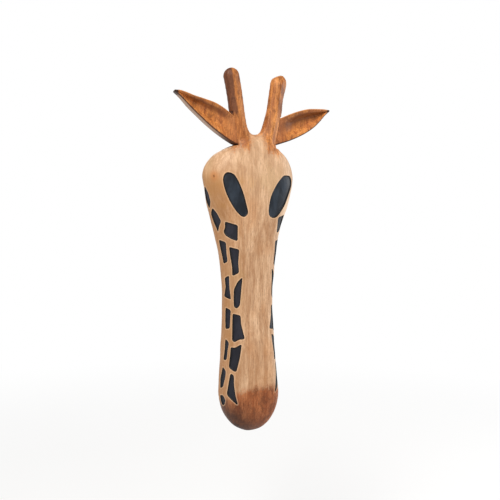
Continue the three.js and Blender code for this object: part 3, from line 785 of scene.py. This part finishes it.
def raw_wood(points):
    """1 on the back and in the hollow, which are left unfinished; 0 on the face."""
    x, y, z = points.T
    _, off = girth_map(points)
    hollow = (off > 3) & (z < HOLLOW_TOP + 4)
    beside = (np.abs(x) < RECESS_HALF + 1) & (z > RECESS_LOW - 2) & (z < RECESS_HIGH + 2)
    recess = beside & (y > -HANGER_RECESS_DEPTH - 1)
    return np.where(hollow | recess, 1, smoothstep(-3.5, -1, y))


def make_ear(name, side):
    """A leaf lofted along X: a dished front between narrow rims, a flat edge, a swollen back."""
    columns = 84
    lower_edge, upper_edge = EAR_LOWER[side], EAR_UPPER[side]
    start = upper_edge[0][0]
    xs = start + (EAR_TIP_X - start) * (np.arange(columns + 1) / columns) ** 0.85
    low, high = along(lower_edge, xs), along(upper_edge, xs)
    middle = (EAR_FRONT + EAR_BACK) / 2
    thick = (EAR_BACK - EAR_FRONT) / 2 * along(EAR_TAPER, xs)
    dish, bulge = along(EAR_DISH, xs), along(EAR_BULGE, xs)
    size = high - low
    edge = np.minimum(0.9, size / 5)
    rows = []

    def row(share, depth, inset=0.0):
        rows.append(np.stack([xs, depth, low + inset + (size - 2 * inset) * share], 1))

    def edge_rows(share, face, run, turns):
        for turn in turns:
            angle = turn * math.pi / 2
            row(share, face + run * (1 - math.cos(angle)), edge * (1 - math.sin(angle)))

    shares = np.linspace(0, 1, 33)
    rim = np.minimum(2.2 / size, 0.3)
    for share in shares:
        swell = smoothstep(0, 0.34, share - rim) * smoothstep(0, 0.30, 1 - share - rim * 0.8)
        row(share, middle - thick + dish * swell, edge)
    front_turns, back_turns = (0.35, 0.75, 1.0), (1.0, 0.5)
    edge_rows(1, middle - thick, edge, front_turns)
    edge_rows(1, middle + thick, -2 * edge, back_turns)
    for share in shares[::-2]:
        row(share, middle + thick + bulge * np.sin(math.pi * share) ** 0.8, edge)
    edge_rows(0, middle + thick, -2 * edge, back_turns[::-1])
    edge_rows(0, middle - thick, edge, front_turns[::-1])

    rings = np.stack(rows, 1)
    rings[:, :, 0] *= side
    count = rings.shape[1]
    points = np.vstack([rings.reshape(-1, 3), rings[0].mean(0), rings[-1].mean(0)])
    faces = tube_faces(columns + 1, count) + end_fans(columns + 1, count)
    piece = mesh_object(name, points, faces)
    box = [(-60, -80), (120, -80), (120, 20), (-60, 20)]
    bore = circle(PEG_RADIUS + GAP, 32)
    cut(piece, prism("seat", box, -60, SEAT_GAP, on_seat(side)))
    cut(piece, prism("bore", bore, -PEG_HALF_LENGTH, PEG_HALF_LENGTH + 2 * GAP, on_peg(side)))

    points = positions(piece)
    x = np.abs(points[:, 0])
    lower, upper = points[:, 2] - along(lower_edge, x), along(upper_edge, x) - points[:, 2]
    front = points[:, 1] - (middle - thick.max() * along(EAR_TAPER, x))
    fields = {"lower": lower, "upper": upper, "front": front, "tip": EAR_TIP_X - x}
    set_attributes(piece, {**fields, "share": lower / np.maximum(lower + upper, 1)})
    smooth_shaded(piece, 42)
    return piece


def make_peg(name, side):
    """A fluted dowel with chamfered ends."""
    flutes, per_flute = 12, 4
    count = flutes * per_flute
    angles = 2 * math.pi * np.arange(count) / count
    groove = 0.22 * (0.5 + 0.5 * np.cos(angles * flutes)) ** 2
    rings = []
    half_profile = [(0.86, 1, 1), (0.93, 1, 0.2), (1, 0.78, 0)]  # (place, radius, depth of the flutes)
    profile = [(-at, radius, depth) for at, radius, depth in half_profile[::-1]] + half_profile
    for at, radius, depth in profile:
        r = PEG_RADIUS * radius - groove * depth
        spots = zip(r * np.cos(angles), r * np.sin(angles))
        rings.append([on_peg(side)(a, b, at * PEG_HALF_LENGTH) for a, b in spots])
    points = np.array(rings).reshape(-1, 3)
    ends = [tuple(range(count)), tuple(range(len(points) - count, len(points)))]
    piece = mesh_object(name, points, tube_faces(len(rings), count) + ends)
    smooth_shaded(piece, 35)
    return piece


# ---- Hanger ----
strap_back = -HANGER_RECESS_DEPTH + GAP
eye_inner = RING_WIRE + GAP
eye_outer = eye_inner + EYE_WALL
ring_depth = strap_back + eye_outer


def bevelled(piece, width, segments=2, angle=35):
    """Rounds the piece's sharp edges over."""
    modifier = piece.modifiers.new("bevel", "BEVEL")
    modifier.width = width / 1000
    modifier.segments = segments
    modifier.limit_method = "ANGLE"
    modifier.angle_limit = math.radians(angle)
    modifier.harden_normals = False
    apply_modifiers(piece)


def make_strap():
    """Sheet metal rolled round the ring's straight side, with two holes for its screws."""
    face = strap_back + STRAP_THICKNESS
    outline = [(strap_back, STRAP_BOTTOM), (face, STRAP_BOTTOM), (face, RING_AXIS - eye_inner - 0.3)]
    for step in range(33):
        angle = math.radians(-112 + step * (112 + 180) / 32)
        depth = ring_depth + eye_outer * math.cos(angle)
        outline.append((depth, RING_AXIS + eye_outer * math.sin(angle)))
    half = STRAP_WIDTH / 2
    piece = prism("strap_plate", outline, -half, half, facing_side)
    bore = circle(eye_inner, 40, (ring_depth, RING_AXIS))
    cut(piece, prism("eye_bore", bore, -half - 1, half + 1, facing_side))
    for height in SCREW_HEIGHTS.values():
        hole = circle(SCREW_SHANK + GAP, 28, (0, height))
        cut(piece, prism("hole", hole, strap_back - 2, face + 1, facing_back))
    bevelled(piece, 0.16)
    smooth_shaded(piece, 40)
    return piece


def make_ring():
    """Bent wire: a straight side that runs in the strap's eye, rounded corners and a round bow."""
    half = RING_INNER_HALF + RING_WIRE
    path = []

    def arc(cx, cz, radius, start, end, steps):
        for angle in np.linspace(start, end, steps + 1):
            path.append((cx + radius * math.cos(angle), RING_AXIS + cz + radius * math.sin(angle)))

    for t in np.linspace(-1, 1, 13)[1:-1]:
        path.append((t * (half - RING_CORNER), RING_AXIS))
    arc(half - RING_CORNER, -RING_CORNER, RING_CORNER, math.pi / 2, 0, 8)
    arc(0, -(RING_DROP - half), half, 0, -math.pi, 40)
    arc(-half + RING_CORNER, -RING_CORNER, RING_CORNER, math.pi, math.pi / 2, 8)
    path = np.array(path)
    tangent = np.roll(path, -1, 0) - np.roll(path, 1, 0)
    tangent /= np.linalg.norm(tangent, axis=1)[:, None]
    sides = 20
    points = []
    for (x, z), (tx, tz) in zip(path, tangent):
        for angle in 2 * math.pi * np.arange(sides) / sides:
            out = RING_WIRE * math.cos(angle)
            points.append((x - tz * out, ring_depth + RING_WIRE * math.sin(angle), z + tx * out))
    piece = mesh_object("wire_ring", points, tube_faces(len(path), sides, closed=True))
    smooth_shaded(piece, 60)
    return piece


def make_screw(name, height):
    """A pan-head wood screw with a cross recess, its thread cut as rings of flanks."""
    top = strap_back + STRAP_THICKNESS + GAP + SCREW_HEAD_HEIGHT
    profile = [(SCREW_HEAD * math.sin(a), SCREW_HEAD_HEIGHT * 0.62 * (1 - math.cos(a)))
               for a in np.linspace(0.25, math.pi / 2, 9)]
    profile += [(SCREW_HEAD, SCREW_HEAD_HEIGHT), (SCREW_SHANK, SCREW_HEAD_HEIGHT)]
    turns = 12
    body = SCREW_LENGTH - 3.5
    for i in range(turns):
        at = SCREW_HEAD_HEIGHT + 1 + (body - 1) * i / turns
        profile += [(SCREW_SHANK, at), (SCREW_SHANK * 0.72, at + 0.5 * body / turns)]
    profile.append((SCREW_SHANK * 0.8, SCREW_HEAD_HEIGHT + body))
    profile.append((0.1, SCREW_HEAD_HEIGHT + SCREW_LENGTH - 0.2))
    sides = 40
    points = [(radius * math.cos(a), top - drop, height + radius * math.sin(a))
              for radius, drop in profile for a in 2 * math.pi * np.arange(sides) / sides]
    points += [(0, top, height), (0, top - SCREW_HEAD_HEIGHT - SCREW_LENGTH, height)]
    faces = tube_faces(len(profile), sides) + end_fans(len(profile), sides)
    piece = mesh_object(name, points, faces)
    half, thick = 1.75, 0.36
    for turn in (20, 110):
        across = Matrix.Rotation(math.radians(turn), 2)
        corners = [(half, thick), (-half, thick), (-half, -thick), (half, -thick)]
        turned = [across @ Vector(corner) + Vector((0, height)) for corner in corners]
        cut(piece, prism("slot", turned, top - 1.1, top + 1, facing_back))
    smooth_shaded(piece, 38)
    return piece


# ---- Shader building ----
def linear(red, green, blue):
    """A colour given as 0-255 screen values, as the linear RGBA that a socket takes."""
    values = [v / 255 for v in (red, green, blue)]
    return (*[v / 12.92 if v <= 0.04045 else ((v + 0.055) / 1.055) ** 2.4 for v in values], 1)


def level(height):
    """A height above the nose tip in millimetres, as the frame's Z in metres."""
    return (height - ORIGIN_HEIGHT) / 1000


class Graph:
    """Adds and links the nodes of one material."""

    def __init__(self, name):
        self.material = bpy.data.materials.new(name)
        self.material.use_nodes = True
        self.nodes = self.material.node_tree.nodes
        self.links = self.material.node_tree.links
        self.nodes.clear()
        self.place = self.nodes.new("ShaderNodeTexCoord").outputs["Object"]
        self.shader = self.nodes.new("ShaderNodeBsdfPrincipled")
        output = self.nodes.new("ShaderNodeOutputMaterial")
        self.links.new(self.shader.outputs[0], output.inputs["Surface"])

    def feed(self, socket, value):
        if isinstance(value, bpy.types.NodeSocket):
            self.links.new(value, socket)
        else:
            socket.default_value = value

    def math(self, operation, *values):
        node = self.nodes.new("ShaderNodeMath")
        node.operation = operation
        for socket, value in zip(node.inputs, values):
            self.feed(socket, value)
        return node.outputs[0]

    def plus(self, a, b):
        return self.math("ADD", a, b)

    def times(self, a, b):
        return self.math("MULTIPLY", a, b)

    def scaled(self, value, factor, shift):
        return self.math("MULTIPLY_ADD", value, factor, shift)

    def noise(self, per_metre, detail=3.0, roughness=0.55, distortion=0.0, seed=0.0):
        """Noise with a number of features per metre along each axis of the frame."""
        stretched = self.nodes.new("ShaderNodeVectorMath")
        stretched.operation = "MULTIPLY"
        self.links.new(self.place, stretched.inputs[0])
        stretched.inputs[1].default_value = per_metre
        node = self.nodes.new("ShaderNodeTexNoise")
        node.noise_dimensions = "4D"
        self.links.new(stretched.outputs[0], node.inputs["Vector"])
        node.inputs["Scale"].default_value = 1.0
        node.inputs["W"].default_value = seed
        node.inputs["Detail"].default_value = detail
        node.inputs["Roughness"].default_value = roughness
        node.inputs["Distortion"].default_value = distortion
        return node.outputs["Fac"]

    def step(self, value, low, high, to_low=0.0, to_high=1.0):
        """A smooth step of the value from low to high."""
        node = self.nodes.new("ShaderNodeMapRange")
        node.interpolation_type = "SMOOTHSTEP"
        for socket, number in zip(node.inputs, (value, low, high, to_low, to_high)):
            self.feed(socket, number)
        return node.outputs["Result"]

    def mix(self, factor, a, b):
        node = self.nodes.new("ShaderNodeMix")
        node.data_type = "RGBA"
        self.feed(node.inputs[0], factor)
        self.feed(node.inputs[6], a)
        self.feed(node.inputs[7], b)
        return node.outputs[2]

    def attribute(self, name):
        node = self.nodes.new("ShaderNodeAttribute")
        node.attribute_name = name
        return node.outputs["Fac"]

    def coordinate(self, axis):
        node = self.nodes.new("ShaderNodeSeparateXYZ")
        self.links.new(self.place, node.inputs[0])
        return node.outputs[axis]

    def reach(self, x, y):
        """Distance from the upright line through x, y."""
        across = self.plus(self.coordinate("X"), -x)
        away = self.plus(self.coordinate("Y"), -y)
        return self.math("SQRT", self.plus(self.times(across, across), self.times(away, away)))

    def bump(self, height, distance):
        node = self.nodes.new("ShaderNodeBump")
        node.inputs["Strength"].default_value = 1.0
        node.inputs["Distance"].default_value = distance
        self.links.new(height, node.inputs["Height"])
        return node.outputs[0]

    def finish(self, colour, roughness, normal=None, **constants):
        """Feeds the shader; the constants are sockets' names, with _ for each space."""
        self.feed(self.shader.inputs["Base Color"], colour)
        self.feed(self.shader.inputs["Roughness"], roughness)
        if normal is not None:
            self.links.new(normal, self.shader.inputs["Normal"])
        for name, value in constants.items():
            self.shader.inputs[name.replace("_", " ")].default_value = value
        return self.material


# ---- Woods ----
PITH = (0.02, 0.19)  # the middle of the tree, in x and y, behind the plank
RING_SPACING = 0.0046
WAX_SPECULAR = 0.28  # a thin wax over wood and paint reflects little


class Grain:
    """Fields of the timber: streaks, growth rings, pores, and patches from large to small."""

    def __init__(self, g, seed=0.0):
        self.broad = g.noise((130, 130, 8), 4, 0.65, 0.4, seed)
        self.fine = g.noise((360, 360, 34), 5, 0.72, 0.3, seed + 3)
        warp = g.noise((13, 13, 3), 2, 0.5, 0.0, seed + 5)
        phase = g.plus(g.times(g.reach(*PITH), 2 * math.pi / RING_SPACING), g.times(warp, 26.0))
        self.rings = g.scaled(g.math("SINE", phase), 0.5, 0.5)
        self.pores = g.step(g.noise((1300, 1300, 110), 1, 0.5, 0.0, seed + 7), 0.58, 0.70)
        self.blotch = g.noise((17, 17, 9), 3, 0.55, 0.6, seed + 9)
        self.mottle = g.noise((72, 72, 40), 4, 0.65, 0.7, seed + 13)
        self.grit = g.noise((620, 620, 480), 3, 0.7, 0.0, seed + 11)


def pale_timber(g, grain):
    """The colour of the light, waxed wood."""
    streak = g.scaled(grain.broad, 0.45, g.times(grain.fine, 0.55))
    tone = g.mix(g.step(streak, 0.38, 0.62), linear(182, 136, 97), linear(232, 191, 152))
    tone = g.mix(g.times(g.math("POWER", grain.rings, 3.0), 0.3), tone, linear(160, 110, 70))
    tone = g.mix(g.step(grain.blotch, 0.52, 0.72, 0.0, 0.4), tone, linear(210, 146, 92))
    tone = g.mix(g.step(grain.blotch, 0.32, 0.44, 0.4, 0.0), tone, linear(186, 150, 102))
    tone = g.mix(g.step(grain.mottle, 0.52, 0.66, 0.0, 0.3), tone, linear(172, 118, 72))
    tone = g.mix(g.times(grain.pores, 0.45), tone, linear(118, 76, 46))
    return g.mix(g.step(grain.grit, 0.35, 0.68, 0.16, 0.0), tone, linear(96, 62, 40))


def stained_timber(g, grain, light, dark):
    """The colour of the stained wood: the stain gathers in the soft streaks of the grain."""
    streak = g.scaled(grain.broad, 0.5, g.times(grain.fine, 0.5))
    tone = g.mix(g.step(streak, 0.38, 0.62), dark, light)
    tone = g.mix(g.step(grain.blotch, 0.44, 0.68, 0.0, 0.6), tone, dark)
    burnt = g.mix(0.6, dark, linear(60, 30, 12))
    tone = g.mix(g.step(grain.mottle, 0.5, 0.62, 0.0, 0.6), tone, burnt)
    tone = g.mix(g.step(grain.blotch, 0.28, 0.42, 0.3, 0.0), tone, linear(190, 116, 80))
    tone = g.mix(g.times(grain.pores, 0.5), tone, linear(70, 34, 16))
    return g.mix(g.step(grain.grit, 0.35, 0.66, 0.3, 0.0), tone, linear(60, 30, 14))


def wood_relief(g, grain, depth=0.00022):
    """Raised grain, sunk pores and light scuffs."""
    height = g.scaled(grain.fine, 0.5, g.times(grain.broad, 0.5))
    height = g.math("SUBTRACT", height, g.times(grain.pores, 0.35))
    scuffs = g.noise((260, 260, 420), 2, 0.5, 0.0, 21.0)
    return g.bump(g.scaled(scuffs, 0.2, height), depth)


def nose_timber(g, grain):
    """The nose's burnt stain: reddish at the upper right, nearly black at the lower left."""
    light = stained_timber(g, grain, linear(216, 140, 88), linear(146, 76, 34))
    dark = stained_timber(g, grain, linear(92, 48, 18), linear(36, 16, 6))
    slant = g.plus(g.coordinate("Z"), g.times(g.coordinate("X"), 0.7))
    slant = g.plus(slant, g.times(grain.blotch, 0.02))
    return g.mix(g.step(slant, level(2), level(56)), dark, light)


def bare_head(g, grain):
    """Pale timber with a painted highlight over the brow, a knot in an ochre patch, painted shade on the
    left cheek and a painted highlight along the right edge.
    """
    z = g.coordinate("Z")
    tone = pale_timber(g, grain)
    # Painted highlight: the upper head is lightened towards the brow, where the light from above falls.
    tone = g.mix(g.step(z, level(284), level(364), 0.0, 0.16), tone, linear(255, 218, 178))
    knot = g.scaled(grain.grit, 3.0, g.plus(g.attribute("knot"), -1.5))
    ochre = g.scaled(grain.mottle, 120.0, g.plus(g.attribute("knot"), -60.0))
    ochre = g.times(g.step(ochre, 14.0, 62.0, 0.62, 0.0), g.step(z, level(339), level(364), 1.0, 0.0))
    tone = g.mix(ochre, tone, linear(184, 132, 70))
    tone = g.mix(g.step(knot, 2.0, 11.0, 0.55, 0.0), tone, linear(206, 122, 56))
    tone = g.mix(g.step(knot, 0.8, 2.6, 0.9, 0.0), tone, linear(88, 48, 26))
    girth = g.scaled(grain.blotch, 24.0, g.plus(g.attribute("girth"), -12.0))
    # Painted shade: the left cheek, which turns away from the light, is darkened, with an ochre tint.
    painted_cheek_shade = g.times(g.step(girth, -54.0, -8.0, 0.6, 0.0), g.step(z, level(334), level(384), 1.0, 0.1))
    tone = g.mix(painted_cheek_shade, tone, linear(158, 106, 58))
    # Painted highlight: the right edge below the crown is lightened as if caught by the light from the
    # right.
    painted_edge_highlight = g.times(g.step(girth, 24.0, 50.0, 0.0, 0.7), g.step(z, level(314), level(354), 1.0, 0.1))
    return g.mix(painted_edge_highlight, tone, linear(250, 220, 190))


def head_stains(g, grain):
    """The stain of the horns, darker on one facet, and the stain of the nose."""
    horns = stained_timber(g, grain, linear(240, 160, 88), linear(158, 88, 38))
    facet = stained_timber(g, grain, linear(128, 76, 48), linear(84, 46, 28))
    horns = g.mix(g.times(g.attribute("facet"), 0.9), horns, facet)
    return g.mix(g.step(g.coordinate("Z"), level(214), level(314)), nose_timber(g, grain), horns)


def recess_paint(g, eye, near):
    """Blue-grey in the eyes, black in the markings, with painted shade in a dark line along the edge."""
    uneven = g.noise((60, 60, 26), 4, 0.6, 0.5, 11.0)
    shade = g.step(uneven, 0.35, 0.7)
    eyes = g.mix(shade, linear(20, 26, 34), linear(46, 55, 66))
    marks = g.mix(shade, linear(24, 24, 32), linear(40, 40, 50))
    paint = g.mix(g.step(eye, -0.2, 0.2), marks, eyes)
    # Painted shade: a near-black band just inside each edge, where the recess wall falls in shadow.
    return g.mix(g.step(near, 0.7, 2.2), linear(12, 9, 8), paint), g.scaled(uneven, 0.25, 0.4)


def head_material():
    g = Graph("carved_wood")
    grain = Grain(g)

    # The stain runs along the grain, so its edge is ragged.
    fringe = g.scaled(grain.fine, 16.0, -8.0)
    speckle = g.scaled(grain.grit, 24.0, -12.0)
    stained = g.step(g.plus(g.plus(g.attribute("stain"), fringe), speckle), -8.0, 5.5)
    wood = g.mix(stained, bare_head(g, grain), head_stains(g, grain))

    # The wood is sanded brighter beside each recess.
    wobble = g.scaled(g.noise((420, 420, 420), 2, 0.5, 0.0, 2.0), 0.5, -0.25)
    eye = g.plus(g.attribute("eye"), wobble)
    mark = g.plus(g.attribute("mark"), wobble)
    near = g.plus(g.math("MAXIMUM", eye, mark), 0.35)
    wood = g.mix(g.step(near, -2.0, -0.4, 0.0, 0.38), wood, linear(236, 196, 156))

    # The back is neither waxed nor sanded.
    raw = g.attribute("raw")
    bare = g.mix(g.step(grain.fine, 0.3, 0.7), linear(150, 112, 74), linear(206, 170, 126))
    bare = g.mix(g.times(grain.pores, 0.4), bare, linear(104, 72, 46))
    wood = g.mix(raw, wood, bare)

    paint, paint_gloss = recess_paint(g, eye, near)
    painted = g.step(near, -0.12, 0.12)
    gloss = g.mix(raw, g.scaled(grain.blotch, 0.25, 0.38), (0.8, 0.8, 0.8, 1))
    gloss = g.mix(painted, gloss, paint_gloss)
    relief = wood_relief(g, grain)
    return g.finish(g.mix(painted, wood, paint), gloss, relief, Specular_IOR_Level=WAX_SPECULAR)


def ear_material(name, dark_share, shade):
    """Stained leaf: shaded along the top of its dish, with a bare lower edge and a dark tip."""
    g = Graph(name)
    grain = Grain(g, 4.0)
    names = ("lower", "upper", "front", "tip", "share")
    lower, upper, front, tip, share = (g.attribute(name) for name in names)
    tone = stained_timber(g, grain, linear(236, 154, 80), linear(176, 100, 46))
    root = stained_timber(g, grain, linear(206, 134, 88), linear(156, 92, 58))
    uneven = g.scaled(grain.blotch, 0.5, g.plus(share, -0.25))
    shadow = g.step(uneven, dark_share - 0.16, dark_share + 0.12)
    shadow = g.times(shadow, g.step(front, 0.3, 2.0, 0.5, 1.0))
    tone = g.mix(g.times(shadow, shade), tone, linear(108, 58, 24))
    tone = g.mix(g.step(tip, 60.0, 88.0, 0.0, 0.6), tone, root)
    # Painted highlight: a light line along the upper rim of the dish.
    rim = g.times(g.step(upper, 0.5, 1.6, 0.6, 0.0), g.step(front, 0.8, 2.4, 1.0, 0.2))
    tone = g.mix(rim, tone, linear(226, 158, 98))

    under = g.mix(0.6, pale_timber(g, grain), linear(150, 128, 118))
    # Painted shade where the lower edge meets the head, with darker stain there too: it darkens towards
    # the root.
    under = g.mix(g.step(tip, 48.0, 76.0), under, linear(72, 44, 30))
    is_under = g.times(g.step(lower, 0.35, 0.75, 1.0, 0.0), g.step(front, 1.2, 2.4))
    tone = g.mix(is_under, tone, under)
    ragged = g.scaled(grain.fine, 1.2, -0.6)
    line = g.step(g.plus(lower, ragged), 1.1, 2.1, 1.0, 0.0)
    line = g.times(line, g.step(front, 1.4, 2.4, 1.0, 0.0))
    tone = g.mix(g.times(line, 0.9), tone, linear(58, 28, 12))
    end = g.step(g.plus(tip, ragged), 2.5, 6.5, 0.92, 0.0)
    tone = g.mix(end, tone, linear(50, 34, 28))
    relief = wood_relief(g, grain, 0.00026)
    return g.finish(tone, g.scaled(grain.blotch, 0.2, 0.36), relief, Specular_IOR_Level=WAX_SPECULAR)


def dowel_material():
    g = Graph("dowel_wood")
    grain = Grain(g, 8.0)
    tone = g.mix(g.step(grain.fine, 0.3, 0.7), linear(206, 176, 128), linear(228, 204, 160))
    tone = g.mix(g.times(grain.pores, 0.4), tone, linear(150, 112, 70))
    return g.finish(tone, 0.75, wood_relief(g, grain, 0.0001))


def metal_material(name, bright, dull, roughness):
    """Plated metal with tarnish spots and fine scratches."""
    g = Graph(name)
    tarnish = g.step(g.noise((900, 900, 900), 4, 0.6, 0.3, 1.0), 0.5, 0.72)
    scratches = g.noise((2400, 2400, 300), 2, 0.5, 0.0, 5.0)
    colour = g.mix(g.times(tarnish, 0.6), bright, dull)
    rough = g.scaled(scratches, 0.12, g.scaled(tarnish, 0.25, roughness))
    return g.finish(colour, rough, g.bump(scratches, 0.00004), Metallic=1.0)


# ---- Assembly ----
def use_material(piece, material):
    piece.data.materials.clear()
    piece.data.materials.append(material)


def place_piece(piece, material, body, node):
    use_material(piece, material)
    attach(piece, body)
    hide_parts(node)


dowel = dowel_material()
brass = metal_material("hanger_brass", linear(202, 168, 96), linear(128, 92, 46), 0.26)
steel = metal_material("screw_steel", linear(196, 198, 200), linear(120, 118, 112), 0.28)
place_piece(make_head(), head_material(), "mask", "head_block")
for side, word, dark_share, shade in ((-1, "left", 0.66, 0.85), (1, "right", 0.5, 0.85)):
    ear_finish = ear_material(f"stained_ear_{word}", dark_share, shade)
    place_piece(make_ear(f"leaf_ear_{word}", side), ear_finish, "mask", f"ear_{word}")
    place_piece(make_peg(f"fluted_peg_{word}", side), dowel, "mask", f"ear_peg_{word}")
place_piece(make_strap(), brass, "mask", "hanger_strap")
place_piece(make_ring(), brass, "ring", "hanger_ring")
for node, height in SCREW_HEIGHTS.items():
    place_piece(make_screw(f"threaded_{node}", height), steel, "mask", node)


# ---- Stage: floor, light and camera, in metres and degrees ----
FLOOR_DROP = 0.34  # the mask hangs this far above the floor
FLOOR_RADIUS = 12
AMBIENT = 0.42  # strength of the light from all round
CAMERA_AZIMUTH = -24.0
CAMERA_ELEVATION = 1.5
CAMERA_DISTANCE = 0.76
CAMERA_LENS = 39.6
CAMERA_ROLL = 0.79
AIM = Vector((-0.0054, -0.03, level(253.6)))


def make_floor():
    """A pale round floor that turns into the white of the surroundings towards its rim."""
    place = (0, 0, cad_low.z - FLOOR_DROP)
    bpy.ops.mesh.primitive_circle_add(
        vertices=128, radius=FLOOR_RADIUS, fill_type="NGON", location=place
    )
    floor = bpy.context.object
    floor.name = "floor"
    g = Graph("pale_floor")
    tone = g.mix(g.noise((3, 3, 3), 2), linear(244, 243, 241), linear(248, 247, 246))
    glow = g.step(g.reach(0, 0), 0.4, 2.0, 0.55, 1.0)
    g.feed(g.shader.inputs["Emission Color"], linear(255, 255, 255))
    g.feed(g.shader.inputs["Emission Strength"], glow)
    use_material(floor, g.finish(g.mix(glow, tone, (0, 0, 0, 1)), 0.9, Specular_IOR_Level=0.0))


def make_light(name, place, size, power, colour=(1, 1, 1)):
    """A round soft light aimed at the mask."""
    light = bpy.data.lights.new(name, "AREA")
    light.shape = "DISK"
    light.size = size
    light.energy = power
    light.color = colour
    lamp = bpy.data.objects.new(name, light)
    bpy.context.scene.collection.objects.link(lamp)
    lamp.location = place
    lamp.rotation_euler = (AIM - lamp.location).to_track_quat("-Z", "Y").to_euler()


def make_surroundings():
    """Even white light from all round, pure white where it is seen directly."""
    world = bpy.data.worlds.new("studio")
    bpy.context.scene.world = world
    world.use_nodes = True
    nodes, links = world.node_tree.nodes, world.node_tree.links
    nodes.clear()
    path = nodes.new("ShaderNodeLightPath")
    strength = nodes.new("ShaderNodeMapRange")
    strength.inputs["To Min"].default_value = AMBIENT
    strength.inputs["To Max"].default_value = 1.0
    background = nodes.new("ShaderNodeBackground")
    background.inputs["Color"].default_value = (1, 1, 1, 1)
    output = nodes.new("ShaderNodeOutputWorld")
    links.new(path.outputs["Is Camera Ray"], strength.inputs["Value"])
    links.new(strength.outputs["Result"], background.inputs["Strength"])
    links.new(background.outputs[0], output.inputs["Surface"])


def make_camera():
    camera = bpy.data.objects.new("camera", bpy.data.cameras.new("camera"))
    bpy.context.scene.collection.objects.link(camera)
    azimuth, elevation, roll = (math.radians(v) for v in (CAMERA_AZIMUTH, CAMERA_ELEVATION, CAMERA_ROLL))
    flat = math.cos(elevation)
    back = Vector((math.sin(azimuth) * flat, -math.cos(azimuth) * flat, math.sin(elevation)))
    horizontal = Vector((math.cos(azimuth), math.sin(azimuth), 0))
    upright = back.cross(horizontal)
    right = horizontal * math.cos(roll) + upright * math.sin(roll)
    up = upright * math.cos(roll) - horizontal * math.sin(roll)
    turned = Matrix((right, up, back)).transposed().to_4x4()
    camera.matrix_world = Matrix.Translation(AIM + back * CAMERA_DISTANCE) @ turned
    camera.data.lens = CAMERA_LENS
    camera.data.sensor_width = 36
    bpy.context.scene.camera = camera


make_floor()
make_light("key", (-0.95, -1.0, 1.45), 0.8, 34.0, (1.0, 0.985, 0.96))
make_light("fill", (1.55, -0.2, 0.35), 1.0, 12.0)
make_light("back_light", (0.5, 1.6, 0.9), 1.2, 7.0)
make_surroundings()
make_camera()
bpy.context.scene.view_settings.view_transform = "Standard"
bpy.context.scene.view_settings.look = "None"
